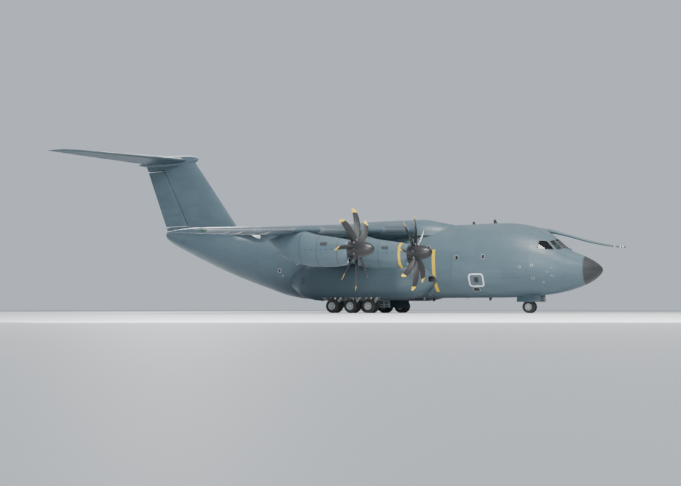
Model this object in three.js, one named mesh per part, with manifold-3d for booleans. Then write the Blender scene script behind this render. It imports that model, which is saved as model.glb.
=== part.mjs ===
// Four-propeller military transport aircraft, standing on its gear, as a half-size model.
// Frame: +X forward, +Y to the left, +Z up. The origin is on the ground under the middle of the overall box.
// Every size below is in metres of the full-size aircraft. The group's scale turns it into millimetres of the model.
// A station, written s, is the distance aft of the nose tip.
import * as THREE from "three";
import { mergeVertices } from "three/addons/utils/BufferGeometryUtils.js";
import Module from "manifold-3d";

const wasm = await Module();
wasm.setup();

// Driving dimensions
const MODEL_MM_PER_METRE = 500; // half size
const NOSE_TO_TAIL = 45.08;
const SPAN_HALF = 21.2;
const PROBE_REACH = 1.5; // how far the refuelling probe stands ahead of the nose tip
const NOSE_X = (NOSE_TO_TAIL - PROBE_REACH) / 2;
const SEAM = 0.0008; // between pieces that touch
const GAP = 0.012; // between pieces that move
const PIN_GAP = 0.0008; // between a moving piece and the lug, shaft or eye that carries it
const WALL = 0.15;

const FUSELAGE_RADIUS = 2.82;
const FUSELAGE_AXIS_Z = 3.97;
const RADOME_JOINT = 1.2;
const FRONT_JOINT = 7.6;
const REAR_JOINT = 24.4;
const TAIL_CONE_JOINT = 37.9;
const TAIL_CONE_END = 39.35;

const FLOOR_TOP = 2.0;
const FLOOR_THICKNESS = 0.25;
const FLOOR_START = 6.35;

const RAMP_AXIS = { s: 25.05, z: 1.58, radius: 0.42 };
const RAMP_END = 30.7;
const RAMP_HALF_WIDTH = 1.85;
const RAMP_END_THICKNESS = 0.3;
const CARGO_DOOR_END = 36.7;
const CARGO_DOOR_HINGE_RISE = 0.38; // above the keel
const END_FACE_LEAN = 0.5; // forward run of the face between ramp and cargo door for each unit of height

const PROPELLER_RADIUS = 2.665;
const BLADES = 8;
const SPINNER_LENGTH = 1.7;
const SPINNER_RADIUS = 0.56;
const ENGINES = [
  { name: "left_inner", y: 7.0, hubZ: 4.25, spinnerTip: 10.25, hand: 1 },
  { name: "left_outer", y: 13.0, hubZ: 4.15, spinnerTip: 11.9, hand: -1 },
  { name: "right_inner", y: -7.0, hubZ: 4.25, spinnerTip: 10.25, hand: -1 },
  { name: "right_outer", y: -13.0, hubZ: 4.15, spinnerTip: 11.9, hand: 1 },
];

const MAIN_GEAR = { stations: [16.85, 18.4, 20.0], y: 3.1, radius: 0.545, tyreWidth: 0.4, twin: 0.65 };
const NOSE_GEAR = { station: 5.3, radius: 0.465, tyreWidth: 0.32, twin: 0.56 };
const WHEEL_SIDES = 18;
const AXLE_RADIUS = 0.09;
const AXLE_SIDES = 12;

// Materials of the aircraft
const finish = (color, roughness, metalness) =>
  new THREE.MeshStandardMaterial({ color, roughness, metalness });
const SKIN = finish(0x6d7c86, 0.5, 0.2);
const UNDERSIDE = finish(0x3a4850, 0.6, 0.1);
const RADOME = finish(0x23262a, 0.6, 0.0);
const GLASS = finish(0x1c2a33, 0.1, 0.0);
const RUBBER = finish(0x141414, 0.9, 0.0);
const STEEL = finish(0x9aa0a4, 0.4, 0.8);
const BLADE_BLACK = finish(0x101113, 0.5, 0.1);
const INTERIOR = finish(0x6f7468, 0.8, 0.0);

const root = new THREE.Group();
root.scale.setScalar(MODEL_MM_PER_METRE);

const X = (s) => NOSE_X - s;
const lerp = (a, b, t) => a + (b - a) * t;

// Turns a closed three.js geometry into a solid, whichever way its faces were wound.
function solid(geometry) {
  const g = geometry.index ? geometry.toNonIndexed() : geometry;
  const bare = new THREE.BufferGeometry().setAttribute("position", g.getAttribute("position"));
  const merged = mergeVertices(bare, 1e-5);
  const make = (tri) =>
    new wasm.Manifold(
      new wasm.Mesh({ numProp: 3, vertProperties: merged.attributes.position.array, triVerts: tri }),
    );
  const tri = new Uint32Array(merged.index.array);
  const made = make(tri);
  if (made.volume() >= 0) return made;
  for (let i = 0; i < tri.length; i += 3) [tri[i + 1], tri[i + 2]] = [tri[i + 2], tri[i + 1]];
  return make(tri);
}

function geometryOf(body) {
  const mesh = body.getMesh();
  const positions = new Float32Array(mesh.numVert * 3);
  for (let i = 0; i < mesh.numVert; i++)
    positions.set(mesh.vertProperties.subarray(i * mesh.numProp, i * mesh.numProp + 3), i * 3);
  return new THREE.BufferGeometry()
    .setAttribute("position", new THREE.BufferAttribute(positions, 3))
    .setIndex(new THREE.BufferAttribute(mesh.triVerts, 1));
}

const largest = (body) => body.decompose().sort((a, b) => b.volume() - a.volume())[0];
const join = (...bodies) => bodies.reduce((a, b) => a.add(b));

function mirrored(body) {
  return solid(geometryOf(body).scale(1, -1, 1));
}

// Adds one named piece of the aircraft. position and rotation place a body that was made about its own origin.
function add(name, body, material, parent = root) {
  const mesh = new THREE.Mesh(geometryOf(body), material);
  mesh.name = name;
  parent.add(mesh);
  return mesh;
}

// A solid through rings of equal count, each a list of [x, y, z], closed by a fan at both ends.
function loft(rings) {
  const count = rings[0].length;
  const points = [];
  const triangle = (a, b, c) => points.push(...a, ...b, ...c);
  const apart = (a, b) => Math.hypot(a[0] - b[0], a[1] - b[1], a[2] - b[2]);
  rings.slice(1).forEach((ring, k) =>
    ring.forEach((p, i) => {
      const j = (i + 1) % count;
      const [a, b, c] = [rings[k][i], rings[k][j], ring[j]];
      // Splitting each patch along its shorter diagonal keeps the left and right sides alike.
      if (apart(b, p) < apart(a, c) + 1e-7) {
        triangle(a, b, p);
        triangle(b, c, p);
      } else {
        triangle(a, b, c);
        triangle(a, c, p);
      }
    }),
  );
  const cap = (ring, flip) => {
    const middle = [0, 1, 2].map((axis) => ring.reduce((sum, p) => sum + p[axis], 0) / count);
    ring.forEach((p, i) => {
      const q = ring[(i + 1) % count];
      if (flip) triangle(middle, q, p);
      else triangle(middle, p, q);
    });
  };
  cap(rings[0], true);
  cap(rings[rings.length - 1], false);
  return solid(
    new THREE.BufferGeometry().setAttribute("position", new THREE.Float32BufferAttribute(points, 3)),
  );
}

// A box between two corners, the first axis given as stations.
function block([s0, s1], [y0, y1], [z0, z1]) {
  return solid(
    new THREE.BoxGeometry(Math.abs(s1 - s0), y1 - y0, z1 - z0).translate(
      X((s0 + s1) / 2),
      (y0 + y1) / 2,
      (z0 + z1) / 2,
    ),
  );
}

// A prism with its outline in side view, as [station, z] points, between two values of y.
function sidePrism(outline, y0, y1) {
  const at = (y) => outline.map(([s, z]) => [X(s), y, z]);
  return loft([at(y0), at(y1)]);
}

// A prism with its outline in plan view, as [station, y] points, between two heights.
function planPrism(outline, z0, z1) {
  const at = (z) => outline.map(([s, y]) => [X(s), y, z]);
  return loft([at(z0), at(z1)]);
}

// A round bar between two points [x, y, z].
function bar(from, to, radius, sides = 12, endRadius = radius) {
  const a = new THREE.Vector3(...from);
  const b = new THREE.Vector3(...to);
  const geometry = new THREE.CylinderGeometry(endRadius, radius, a.distanceTo(b), sides);
  const turn = new THREE.Quaternion().setFromUnitVectors(
    new THREE.Vector3(0, 1, 0),
    b.clone().sub(a).normalize(),
  );
  geometry.applyQuaternion(turn).translate(...a.add(b).multiplyScalar(0.5).toArray());
  return solid(geometry);
}

// Fuselage sections: station, crown height, keel height, half-width, height of the widest point, and how square the lower half is.
const FUSELAGE_COLUMNS = ["s", "top", "bottom", "half", "wide", "square"];
const FUSELAGE_TABLE = [
  [0.0, 3.12, 3.08, 0.02, 3.1, 2.0],
  [0.22, 3.46, 2.68, 0.46, 3.08, 2.0],
  [0.6, 3.76, 2.36, 0.86, 3.08, 2.0],
  [1.2, 4.1, 2.03, 1.27, 3.1, 2.0],
  [2.1, 4.52, 1.7, 1.77, 3.2, 2.0],
  [3.0, 5.3, 1.48, 2.16, 3.42, 2.05],
  [3.8, 5.98, 1.35, 2.44, 3.6, 2.1],
  [4.9, 6.44, 1.24, 2.68, 3.8, 2.2],
  [6.2, 6.7, 1.17, 2.8, 3.92, 2.3],
  [7.6, 6.79, 1.15, 2.82, 3.97, 2.4],
  [24.0, 6.79, 1.15, 2.82, 3.97, 2.4],
  [25.6, 6.79, 1.4, 2.82, 4.15, 2.4],
  [27.5, 6.82, 2.0, 2.79, 4.5, 2.5],
  [30.0, 6.93, 2.82, 2.62, 5.0, 2.5],
  [32.5, 7.05, 3.75, 2.3, 5.5, 2.4],
  [34.5, 7.18, 4.57, 1.87, 5.93, 2.3],
  [36.2, 7.3, 5.3, 1.45, 6.33, 2.2],
  [37.9, 7.45, 6.05, 0.95, 6.75, 2.1],
  [39.0, 7.55, 6.65, 0.55, 7.12, 2.0],
  [39.35, 7.55, 6.95, 0.28, 7.25, 2.0],
];
const FUSELAGE = FUSELAGE_TABLE.map((row) =>
  Object.fromEntries(FUSELAGE_COLUMNS.map((name, i) => [name, row[i]])),
);
const FUSELAGE_SIDES = 32;

function fuselageAt(s) {
  const last = FUSELAGE.length - 1;
  const k = Math.min(last - 1, Math.max(0, FUSELAGE.findIndex((row) => row.s > s) - 1));
  const row = s >= FUSELAGE[last].s ? FUSELAGE[last] : null;
  if (row) return row;
  const [a, b] = [FUSELAGE[k], FUSELAGE[k + 1]];
  const t = (s - a.s) / (b.s - a.s);
  return Object.fromEntries(FUSELAGE_COLUMNS.map((name) => [name, lerp(a[name], b[name], t)]));
}

// Directions round a section, half a step off the axes, so that it has a flat at its top, bottom and sides.
// They are stretched so that those flats lie at the full half-width and height.
function directions(sides) {
  const stretch = 1 / Math.cos(Math.PI / sides);
  return Array.from({ length: sides }, (_, i) => {
    const angle = ((i + 0.5) * 2 * Math.PI) / sides;
    return [Math.cos(angle) * stretch, Math.sin(angle) * stretch];
  });
}

const bulge = (value, square) => Math.sign(value) * Math.abs(value) ** (2 / square);

// One ring of the fuselage, taken in by an inset.
function fuselageRing(s, inset = 0) {
  const { top, bottom, half, wide, square } = fuselageAt(s);
  return directions(FUSELAGE_SIDES).map(([c, n]) => {
    const shape = n > 0 ? 2 : square;
    const height = (n > 0 ? top - wide : wide - bottom) - inset;
    return [X(s), bulge(c, shape) * (half - inset), wide + bulge(n, shape) * height];
  });
}

function fuselageBody(s0, s1, inset = 0) {
  const inner = FUSELAGE.map((row) => row.s).filter((s) => s > s0 + 0.01 && s < s1 - 0.01);
  return loft([s0, ...inner, s1].map((s) => fuselageRing(s, inset)));
}

// Height of the keel on the centreline.
const keelAt = (s) => fuselageAt(s).bottom;

// A wing, fin or tailplane half: rows of span, station of the leading edge, chord, height of the chord line and thickness ratio.
// axes puts a point given by station, span and offset from the chord plane into space.
const LIFT_COLUMNS = ["span", "lead", "chord", "rise", "ratio"];
const lifting = (table, axes) => ({
  rows: table.map((row) => Object.fromEntries(LIFT_COLUMNS.map((name, i) => [name, row[i]]))),
  axes,
});
const FLAT = (s, span, offset) => [X(s), span, offset];
const UPRIGHT = (s, span, offset) => [X(s), offset, span];

const WING = lifting(
  [
    [0.0, 12.46, 8.72, 6.42, 0.145],
    [2.9, 13.42, 7.88, 6.32, 0.15],
    [9.7, 15.68, 5.9, 5.82, 0.14],
    [15.8, 17.71, 4.12, 5.37, 0.13],
    [20.75, 19.35, 2.68, 5.01, 0.125],
    [SPAN_HALF, 19.7, 2.35, 4.98, 0.11],
  ],
  FLAT,
);
const FIN = lifting(
  [
    [6.5, 28.6, 10.7, 0, 0.07],
    [7.35, 31.3, 8.0, 0, 0.1],
    [13.95, 36.35, 5.75, 0, 0.1],
  ],
  UPRIGHT,
);
const TAILPLANE = lifting(
  [
    [0.0, 36.75, 5.25, 14.12, 0.1],
    [8.35, 42.4, 2.29, 14.12, 0.1],
    [9.15, 43.25, 1.7, 14.12, 0.09],
    [9.58, 44.55, 0.53, 14.12, 0.08],
  ],
  FLAT,
);

function sectionAt(surface, span) {
  const { rows } = surface;
  const k = Math.min(rows.length - 2, Math.max(0, rows.findIndex((row) => row.span >= span) - 1));
  const [a, b] = [rows[k], rows[k + 1]];
  const t = (span - a.span) / (b.span - a.span);
  return Object.fromEntries(LIFT_COLUMNS.map((name) => [name, lerp(a[name], b[name], t)]));
}

// Half thickness of the section at a share of its chord, as a share of the chord.
const halfThickness = (share, ratio) =>
  5 *
  ratio *
  (0.2969 * Math.sqrt(share) -
    0.126 * share -
    0.3516 * share ** 2 +
    0.2843 * share ** 3 -
    0.1036 * share ** 4) +
  0.0012;
const CHORD_SHARES = [0.0, 0.012, 0.05, 0.13, 0.25, 0.42, 0.6, 0.8, 1.0];

function liftRing(surface, span, grow = 0) {
  const { lead, chord, rise, ratio } = sectionAt(surface, span);
  const side = (share, sign) => {
    const s = lead + share * chord + (share - 0.5) * 2 * grow;
    return surface.axes(s, span, rise + sign * (halfThickness(share, ratio) * chord + grow));
  };
  return [
    ...CHORD_SHARES.map((share) => side(share, 1)).reverse(),
    ...CHORD_SHARES.map((share) => side(share, -1)),
  ];
}

function liftBody(surface, from, to, grow = 0) {
  const inner = surface.rows.map((row) => row.span).filter((v) => v > from + 0.01 && v < to - 0.01);
  return loft([from, ...inner, to].map((span) => liftRing(surface, span, grow)));
}

// A hinged trailing surface. Its nose is round about the hinge line, which lies at a share of the chord.
const NOSE_STEPS = 6;
function hingePoint(surface, span, share) {
  const { lead, chord, rise, ratio } = sectionAt(surface, span);
  return { s: lead + share * chord, rise, radius: halfThickness(share, ratio) * chord };
}

function trailingRing(surface, span, share, spread) {
  const { lead, chord, rise, ratio } = sectionAt(surface, span);
  const { s, radius } = hingePoint(surface, span, share);
  const skin = (at, sign) =>
    surface.axes(lead + at * chord, span, rise + sign * halfThickness(at, ratio) * chord);
  const nose = Array.from({ length: NOSE_STEPS + 1 }, (_, i) => {
    const angle = Math.PI / 2 + (Math.PI * i) / NOSE_STEPS;
    const [ahead, up] = [-Math.cos(angle) * radius * spread, Math.sin(angle) * radius];
    return surface.axes(s - ahead, span, rise + up);
  });
  const middle = (share + 1) / 2;
  return [skin(1, 1), skin(middle, 1), ...nose, skin(middle, -1), skin(1, -1)];
}

// How much a circle about a swept hinge line is stretched along the aircraft.
function hingeSpread(surface, from, to, share) {
  const [a, b] = [from, to].map((span) => hingePoint(surface, span, share));
  const slope = (b.s - a.s) / (to - from);
  return Math.hypot(1, slope);
}

function trailingBody(surface, from, to, share) {
  const spread = hingeSpread(surface, from, to, share);
  return loft([from, to].map((span) => trailingRing(surface, span, share, spread)));
}

// The bay in which a trailing surface moves: everything aft of a line that clears its nose.
// A skirt keeps the bay above the moving surface's own underside.
function trailingBay(surface, from, to, share, endGap, skirt = false) {
  const spread = hingeSpread(surface, from, to, share);
  const depth = 3;
  const ring = (span) => {
    const { s, rise, radius } = hingePoint(surface, span, share);
    const front = s - radius * spread - GAP;
    const low = skirt ? radius + GAP : depth;
    return [
      surface.axes(front, span, rise + depth),
      surface.axes(front + 6, span, rise + depth),
      surface.axes(front + 6, span, rise - low),
      surface.axes(front, span, rise - low),
    ];
  };
  return loft([ring(from - endGap), ring(to + endGap)]);
}

// Lugs that reach from the fixed surface to the round nose.
function trailingLugs(surface, spans, share, spread) {
  const width = 0.07;
  return join(
    ...spans.map((span) => {
      const near = Math.min(
        ...[span - width / 2, span + width / 2].map((v) => {
          const { s, radius } = hingePoint(surface, v, share);
          return s - (radius + PIN_GAP) * spread;
        }),
      );
      const { rise, radius } = hingePoint(surface, span, share);
      const ring = (v) => [
        surface.axes(near - 0.2, v, rise + radius * 0.6),
        surface.axes(near, v, rise + radius * 0.25),
        surface.axes(near, v, rise - radius * 0.25),
        surface.axes(near - 0.2, v, rise - radius * 0.6),
      ];
      return loft([ring(span - width / 2), ring(span + width / 2)]);
    }),
  );
}

// Nose: radome, cockpit shell, windows, door and the parts seen through the glass
const WINDOWS = {
  front: [[0.07, 4.72], [0.98, 4.66], [0.9, 5.28], [0.07, 5.42]], // y, z, looking aft
  quarter: [[1.1, 4.63], [1.62, 4.53], [1.5, 5.15], [1.02, 5.26]],
  side: [[3.02, 4.53], [4.1, 4.55], [4.04, 5.18], [3.56, 5.16]], // station, z
};
const GLASS_INSET = [0.045, 0.085];
const GLASS_BAND = { s: [2.0, 4.3], z: [4.38, 5.55] };

function windowCutters() {
  const ahead = (outline) => {
    const at = (s) => outline.map(([y, z]) => [X(s), y, z]);
    return loft([at(1.6), at(4.2)]);
  };
  const left = [ahead(WINDOWS.front), ahead(WINDOWS.quarter), sidePrism(WINDOWS.side, 1.0, 2.6)];
  return [...left, ...left.map(mirrored)];
}

const CREW_DOOR = { s: [6.35, 7.2], z: [2.02, 3.95] };
function skinY(s, z) {
  const { top, bottom, half, wide, square } = fuselageAt(s);
  const power = z > wide ? 2 : square;
  const share = Math.abs(z - wide) / (z > wide ? top - wide : wide - bottom);
  return half * (1 - share ** power) ** (1 / power);
}

const NOSE_BAY = { s: [4.25, 6.1], half: 0.6, top: 1.95, wall: 0.06 };

function buildNose() {
  add("radome", fuselageBody(0, RADOME_JOINT - SEAM), RADOME);

  const hollow = fuselageBody(1.75, FRONT_JOINT + 1, WALL);
  let shell = fuselageBody(RADOME_JOINT, FRONT_JOINT - SEAM).subtract(hollow);
  const layer = (grow) =>
    fuselageBody(1.3, 5.2, GLASS_INSET[0] - grow)
      .subtract(fuselageBody(1.2, 5.3, GLASS_INSET[1] + grow))
      .intersect(
        block(
          [GLASS_BAND.s[0] - grow, GLASS_BAND.s[1] + grow],
          [-3, 3],
          [GLASS_BAND.z[0] - grow, GLASS_BAND.z[1] + grow],
        ),
      );
  const glass = largest(layer(0));
  shell = shell.subtract(layer(SEAM));
  windowCutters().forEach((cutter) => (shell = shell.subtract(cutter)));

  const { s, half, top, wall } = NOSE_BAY;
  const bayOuter = block([s[0] - wall, s[1] + wall], [-half - wall, half + wall], [1.1, top + wall]);
  const bayInner = block(s, [-half, half], [0.8, top]);
  shell = shell.add(bayOuter.intersect(fuselageBody(1.75, FRONT_JOINT - 0.1, 0.02))).subtract(bayInner);

  const [d0, d1] = CREW_DOOR.s;
  const [low, high] = CREW_DOOR.z;
  const panel = shell.intersect(block([d0, d1], [1, 3.2], [low, high]));
  shell = shell.subtract(block([d0 - GAP, d1 + GAP], [1, 3.2], [low - GAP, high + GAP]));
  const hingeY = skinY((d0 + d1) / 2, low);
  const lug = (at) =>
    block([at, at + 0.14], [hingeY - 0.09, hingeY - 0.015], [low - GAP - 0.05, low - PIN_GAP]);
  shell = join(shell, lug(d0 + 0.1), lug(d1 - 0.24));

  add("fuselage_front", largest(shell), SKIN);
  add("windscreen", glass, GLASS);
  add("crew_door", largest(panel), SKIN);
}

const DECK = { s: [2.5, 6.15], top: 4.0, thickness: 0.12 };
function buildFlightDeck() {
  const cabin = fuselageBody(1.75 + SEAM, FRONT_JOINT, WALL + SEAM);
  const slab = block(DECK.s, [-3, 3], [DECK.top - DECK.thickness, DECK.top]).intersect(cabin);
  const bulkhead = block([6.03, 6.15], [-3, 3], [DECK.top - 0.05, 6.6])
    .intersect(cabin)
    .subtract(block([5.9, 6.3], [-0.45, 0.45], [DECK.top, 5.9]));
  const pedestal = block([2.95, 4.2], [-0.28, 0.28], [DECK.top - 0.05, 4.55]);
  add("flight_deck", largest(join(slab, bulkhead, pedestal)), INTERIOR);

  const panel = sidePrism(
    [[2.72, DECK.top + SEAM], [2.92, DECK.top + SEAM], [2.92, 4.62], [2.6, 4.74], [2.45, 4.6]],
    -1.25,
    1.25,
  );
  add("instrument_panel", panel.intersect(cabin), INTERIOR);

  [["seat_left", 0.72], ["seat_right", -0.72]].forEach(([name, y]) => {
    const seat = join(
      block([3.75, 4.05], [y - 0.2, y + 0.2], [DECK.top + SEAM, 4.3]),
      block([3.62, 4.2], [y - 0.26, y + 0.26], [4.28, 4.45]),
      sidePrism([[4.05, 4.4], [4.2, 4.4], [4.34, 5.2], [4.22, 5.22]], y - 0.25, y + 0.25),
    );
    add(name, seat, INTERIOR);
  });
}

const PROBE = { y: 0.8, tipZ: 4.72, baseZ: 6.12, radius: 0.1 };
function buildProbe() {
  const centres = [ // station, z, radius
    [-PROBE_REACH, PROBE.tipZ, 0.035],
    [-PROBE_REACH + 0.18, PROBE.tipZ + 0.02, 0.085],
    [-PROBE_REACH + 0.5, PROBE.tipZ + 0.05, 0.07],
    [0.9, 5.18, PROBE.radius],
    [2.6, 5.72, PROBE.radius * 1.1],
    [3.7, 6.05, PROBE.radius * 1.6],
    [4.9, 6.25, PROBE.radius * 1.7],
    [5.9, 6.3, PROBE.radius * 0.6],
  ];
  const ring = ([s, z, r]) =>
    Array.from({ length: 10 }, (_, i) => {
      const angle = (i * 2 * Math.PI) / 10;
      return [X(s), PROBE.y + r * Math.cos(angle), z + r * Math.sin(angle)];
    });
  const body = loft(centres.map(ring)).subtract(fuselageBody(RADOME_JOINT, FRONT_JOINT + 1, -SEAM));
  add("refuelling_probe", largest(body), STEEL);
}

// Cargo hold, ramp and rear doors
const wingCutter = (grow) => {
  const left = liftBody(WING, 0, 4.2, grow);
  return left.add(mirrored(left));
};

function buildHold() {
  const tube = fuselageBody(FRONT_JOINT, REAR_JOINT - SEAM).subtract(
    fuselageBody(FRONT_JOINT - 1, REAR_JOINT + 1, WALL),
  );
  add("fuselage_centre", largest(tube.subtract(wingCutter(SEAM))), SKIN);

  const inside = fuselageBody(1.75, 26.5, WALL + SEAM);
  const { s, z, radius } = RAMP_AXIS;
  const sides = 48;
  const roller = (r) => bar([X(s), -2.6, z], [X(s), 2.6, z], r / Math.cos(Math.PI / sides), sides);
  const slab = (end) => block([FLOOR_START, end], [-3, 3], [FLOOR_TOP - FLOOR_THICKNESS, FLOOR_TOP]);
  const clear = slab(s).intersect(inside).subtract(roller(radius + GAP));
  const pads = [-1.5, -0.5, 0.5, 1.5].map((y) =>
    slab(s)
      .intersect(inside)
      .intersect(block([s - 1.2, s], [y - 0.1, y + 0.1], [1, 3]))
      .subtract(roller(radius + PIN_GAP)),
  );
  add("cargo_floor", largest(join(clear, ...pads)), INTERIOR);
}

// Side outline of the ramp: a round nose about its hinge, the floor line, the leaning end face and down past the keel.
function rampOutline(grow) {
  const { s, z, radius } = RAMP_AXIS;
  const steps = 12;
  const r = grow > 0 ? (radius + grow) / Math.cos(Math.PI / steps / 2) : radius;
  const nose = Array.from({ length: steps + 1 }, (_, i) => {
    const angle = Math.PI / 2 + (Math.PI * i) / steps;
    return [s + r * Math.cos(angle), z + r * Math.sin(angle)];
  });
  const end = RAMP_END + grow;
  const endLow = keelAt(RAMP_END);
  const endTop = endLow + RAMP_END_THICKNESS;
  return [
    [end - END_FACE_LEAN * RAMP_END_THICKNESS, endTop + 1.4 * grow],
    ...nose,
    [s + 1.0, z - radius - 0.6],
    [end + END_FACE_LEAN * 1.0, endLow - 1.0],
  ];
}

// Side outline of the cargo door's opening, from well below the keel up to the fuselage's widest line.
function cargoDoorOutline(grow) {
  const low = keelAt(RAMP_END);
  const start = RAMP_END + GAP + 0.008 - grow;
  const rise = fuselageAt(RAMP_END).wide + grow - low;
  return [
    [start + END_FACE_LEAN, low - 1.0],
    [start - END_FACE_LEAN * rise, low + rise],
    ...[32.5, 34.5].map((s) => [s, fuselageAt(s).wide + grow]),
    [CARGO_DOOR_END + grow, fuselageAt(CARGO_DOOR_END).wide + grow],
    [CARGO_DOOR_END + grow, keelAt(CARGO_DOOR_END) - 1.2],
  ];
}

// Plan outline of the cargo door: station, half-width
const CARGO_DOOR_PLAN = [
  [28.5, 1.75],
  [32.6, 1.75],
  [34.5, 1.36],
  [CARGO_DOOR_END, 0.82],
];

function buildRear() {
  const outer = fuselageBody(REAR_JOINT, TAIL_CONE_JOINT - SEAM);
  const hollow = fuselageBody(REAR_JOINT - 1, 37.3, WALL);
  let shell = outer.subtract(hollow);

  const half = RAMP_HALF_WIDTH;
  const ramp = outer.intersect(sidePrism(rampOutline(0), -half, half));
  const doorSpace = (grow) => {
    const side = CARGO_DOOR_PLAN.map(([s, y]) => [s, y + grow]);
    side[side.length - 1][0] += grow;
    const plan = planPrism([...side, ...side.map(([s, y]) => [s, -y]).reverse()], 1, 8);
    return plan.intersect(sidePrism(cargoDoorOutline(grow), -3, 3));
  };
  const rampSpace = sidePrism(rampOutline(GAP), -half - GAP, half + GAP);
  const door = shell.intersect(doorSpace(0)).subtract(rampSpace);
  shell = shell.subtract(rampSpace).subtract(doorSpace(GAP));
  const end = CARGO_DOOR_END;
  const lugLow = keelAt(end) + CARGO_DOOR_HINGE_RISE - 0.28;
  const lugs = [-0.45, 0.45].map((y) =>
    block([end + PIN_GAP, end + 0.3], [y - 0.08, y + 0.08], [lugLow, lugLow + 0.14]),
  );
  shell = join(shell, ...lugs);

  const doors = [["left", 1], ["right", -1]].map(([name, side]) => {
    const y = side > 0 ? [1.9, 3.2] : [-3.2, -1.9];
    const cut = (grow) => block([24.85 - grow, 25.75 + grow], y, [2.15 - grow, 4.0 + grow]);
    const panel = largest(shell.intersect(cut(0)));
    shell = shell.subtract(cut(SEAM));
    return [`paratroop_door_${name}`, panel];
  });
  add("fuselage_rear", largest(shell), SKIN);
  doors.forEach(([name, panel]) => add(name, panel, SKIN));
  add("cargo_ramp", largest(ramp), SKIN);
  add("cargo_door", largest(door), SKIN);
  add("tail_cone", fuselageBody(TAIL_CONE_JOINT, TAIL_CONE_END), SKIN);
}

// Sponsons with open wheel bays: station, inner y, outer y, low z, high z
const SPONSON_TABLE = [
  [11.8, 2.25, 2.75, 2.2, 2.75],
  [12.3, 1.8, 3.25, 1.65, 3.3],
  [13.2, 1.3, 3.85, 1.16, 3.75],
  [14.5, 1.1, 4.18, 0.96, 3.95],
  [21.3, 1.1, 4.18, 0.96, 3.95],
  [22.6, 1.4, 3.9, 1.2, 3.75],
  [24.0, 2.0, 2.95, 2.0, 3.1],
];
const SPONSON_SIDES = 20;
const MAIN_BAY = { s: [15.7, 20.75], y: [2.2, 3.82], top: 2.3 };

function sponsonLoft(grow) {
  const ring = ([s, inner, outer, low, high]) =>
    directions(SPONSON_SIDES).map(([c, n]) => [
      X(s),
      (inner + outer) / 2 + bulge(c, 3.2) * ((outer - inner) / 2 + grow),
      (low + high) / 2 + bulge(n, 3.2) * ((high - low) / 2 + grow),
    ]);
  return loft(SPONSON_TABLE.map(ring));
}

function buildSponsons() {
  const body = sponsonLoft(0)
    .subtract(fuselageBody(FRONT_JOINT, 27, -SEAM))
    .subtract(block(MAIN_BAY.s, MAIN_BAY.y, [0.5, MAIN_BAY.top]));
  const left = largest(body);
  add("sponson_left", left, UNDERSIDE);
  add("sponson_right", mirrored(left), UNDERSIDE);
}

// Wing with its flap fairings, flaps and ailerons
const FLAP_SHARE = 0.7;
const FLAPS = [
  { name: "inner", from: 3.15, to: 9.6, endGap: 0.09, fairings: [[4.3, 2.2], [8.2, 2.2]] },
  { name: "outer", from: 9.75, to: 15.7, endGap: 0.03, fairings: [[11.0, 1.5], [14.2, 1.3]] },
]; // each fairing: y, reach ahead of the hinge
const AILERON = { from: 15.85, to: 20.7, share: 0.74 };
const FAIRING = { drop: 0.5, half: 0.14, past: 0.45 };

// Front edge of a flap, and the hinge that hangs below it.
function flapHinge({ from }) {
  const { lead, chord, rise, ratio } = sectionAt(WING, from);
  const s = lead + FLAP_SHARE * chord - 0.1;
  return { s, z: rise - halfThickness(FLAP_SHARE, ratio) * chord - FAIRING.drop };
}

const FLAP_DROOP = (5.37 - 6.32) / (15.8 - 2.9); // fall of the hinge line for each metre outboard
const hingeHeight = (flap, y) => flapHinge(flap).z + FLAP_DROOP * (y - flap.from);

// Fairing rings run fore and aft: station, half-width, top and bottom height.
function fairingLoft(y, rows) {
  const ring = ([s, half, top, bottom]) => {
    const middle = lerp(bottom, top, 0.35);
    return [
      [X(s), y - half, top],
      [X(s), y - half, middle],
      [X(s), y - half * 0.45, bottom],
      [X(s), y + half * 0.45, bottom],
      [X(s), y + half, middle],
      [X(s), y + half, top],
    ];
  };
  return loft(rows.map(ring));
}

function fairingFront(flap, [y, ahead]) {
  const { s } = flapHinge(flap);
  const z = hingeHeight(flap, y);
  const { rise } = sectionAt(WING, y);
  const inside = rise - 0.05;
  const { half } = FAIRING;
  const body = fairingLoft(y, [
    [s - ahead, half * 0.2, inside, rise - 0.42],
    [s - ahead * 0.55, half * 0.8, inside, z + 0.22],
    [s - ahead * 0.15, half, inside, z + 0.03],
    [s - GAP, half, inside, z + 0.0],
  ]);
  const lug = block([s - GAP - 0.05, s - PIN_GAP], [y - 0.05, y + 0.05], [z + 0.002, z + 0.08]);
  return body.add(lug);
}

function fairingRear(flap, [y]) {
  const { s } = flapHinge(flap);
  const z = hingeHeight(flap, y) + 0.004;
  const { lead, chord, rise } = sectionAt(WING, y);
  const edge = lead + chord;
  const { half, past } = FAIRING;
  const below = rise - 0.62;
  return fairingLoft(y, [
    [s, half, below + 0.12, z],
    [s + 0.4, half, below + 0.2, z + 0.03],
    [lerp(s, edge, 0.6), half * 0.9, rise - 0.05, lerp(z, rise, 0.38)],
    [edge + past * 0.4, half * 0.45, rise + 0.0, rise - 0.2],
    [edge + past, half * 0.12, rise - 0.03, rise - 0.1],
  ]);
}

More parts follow.
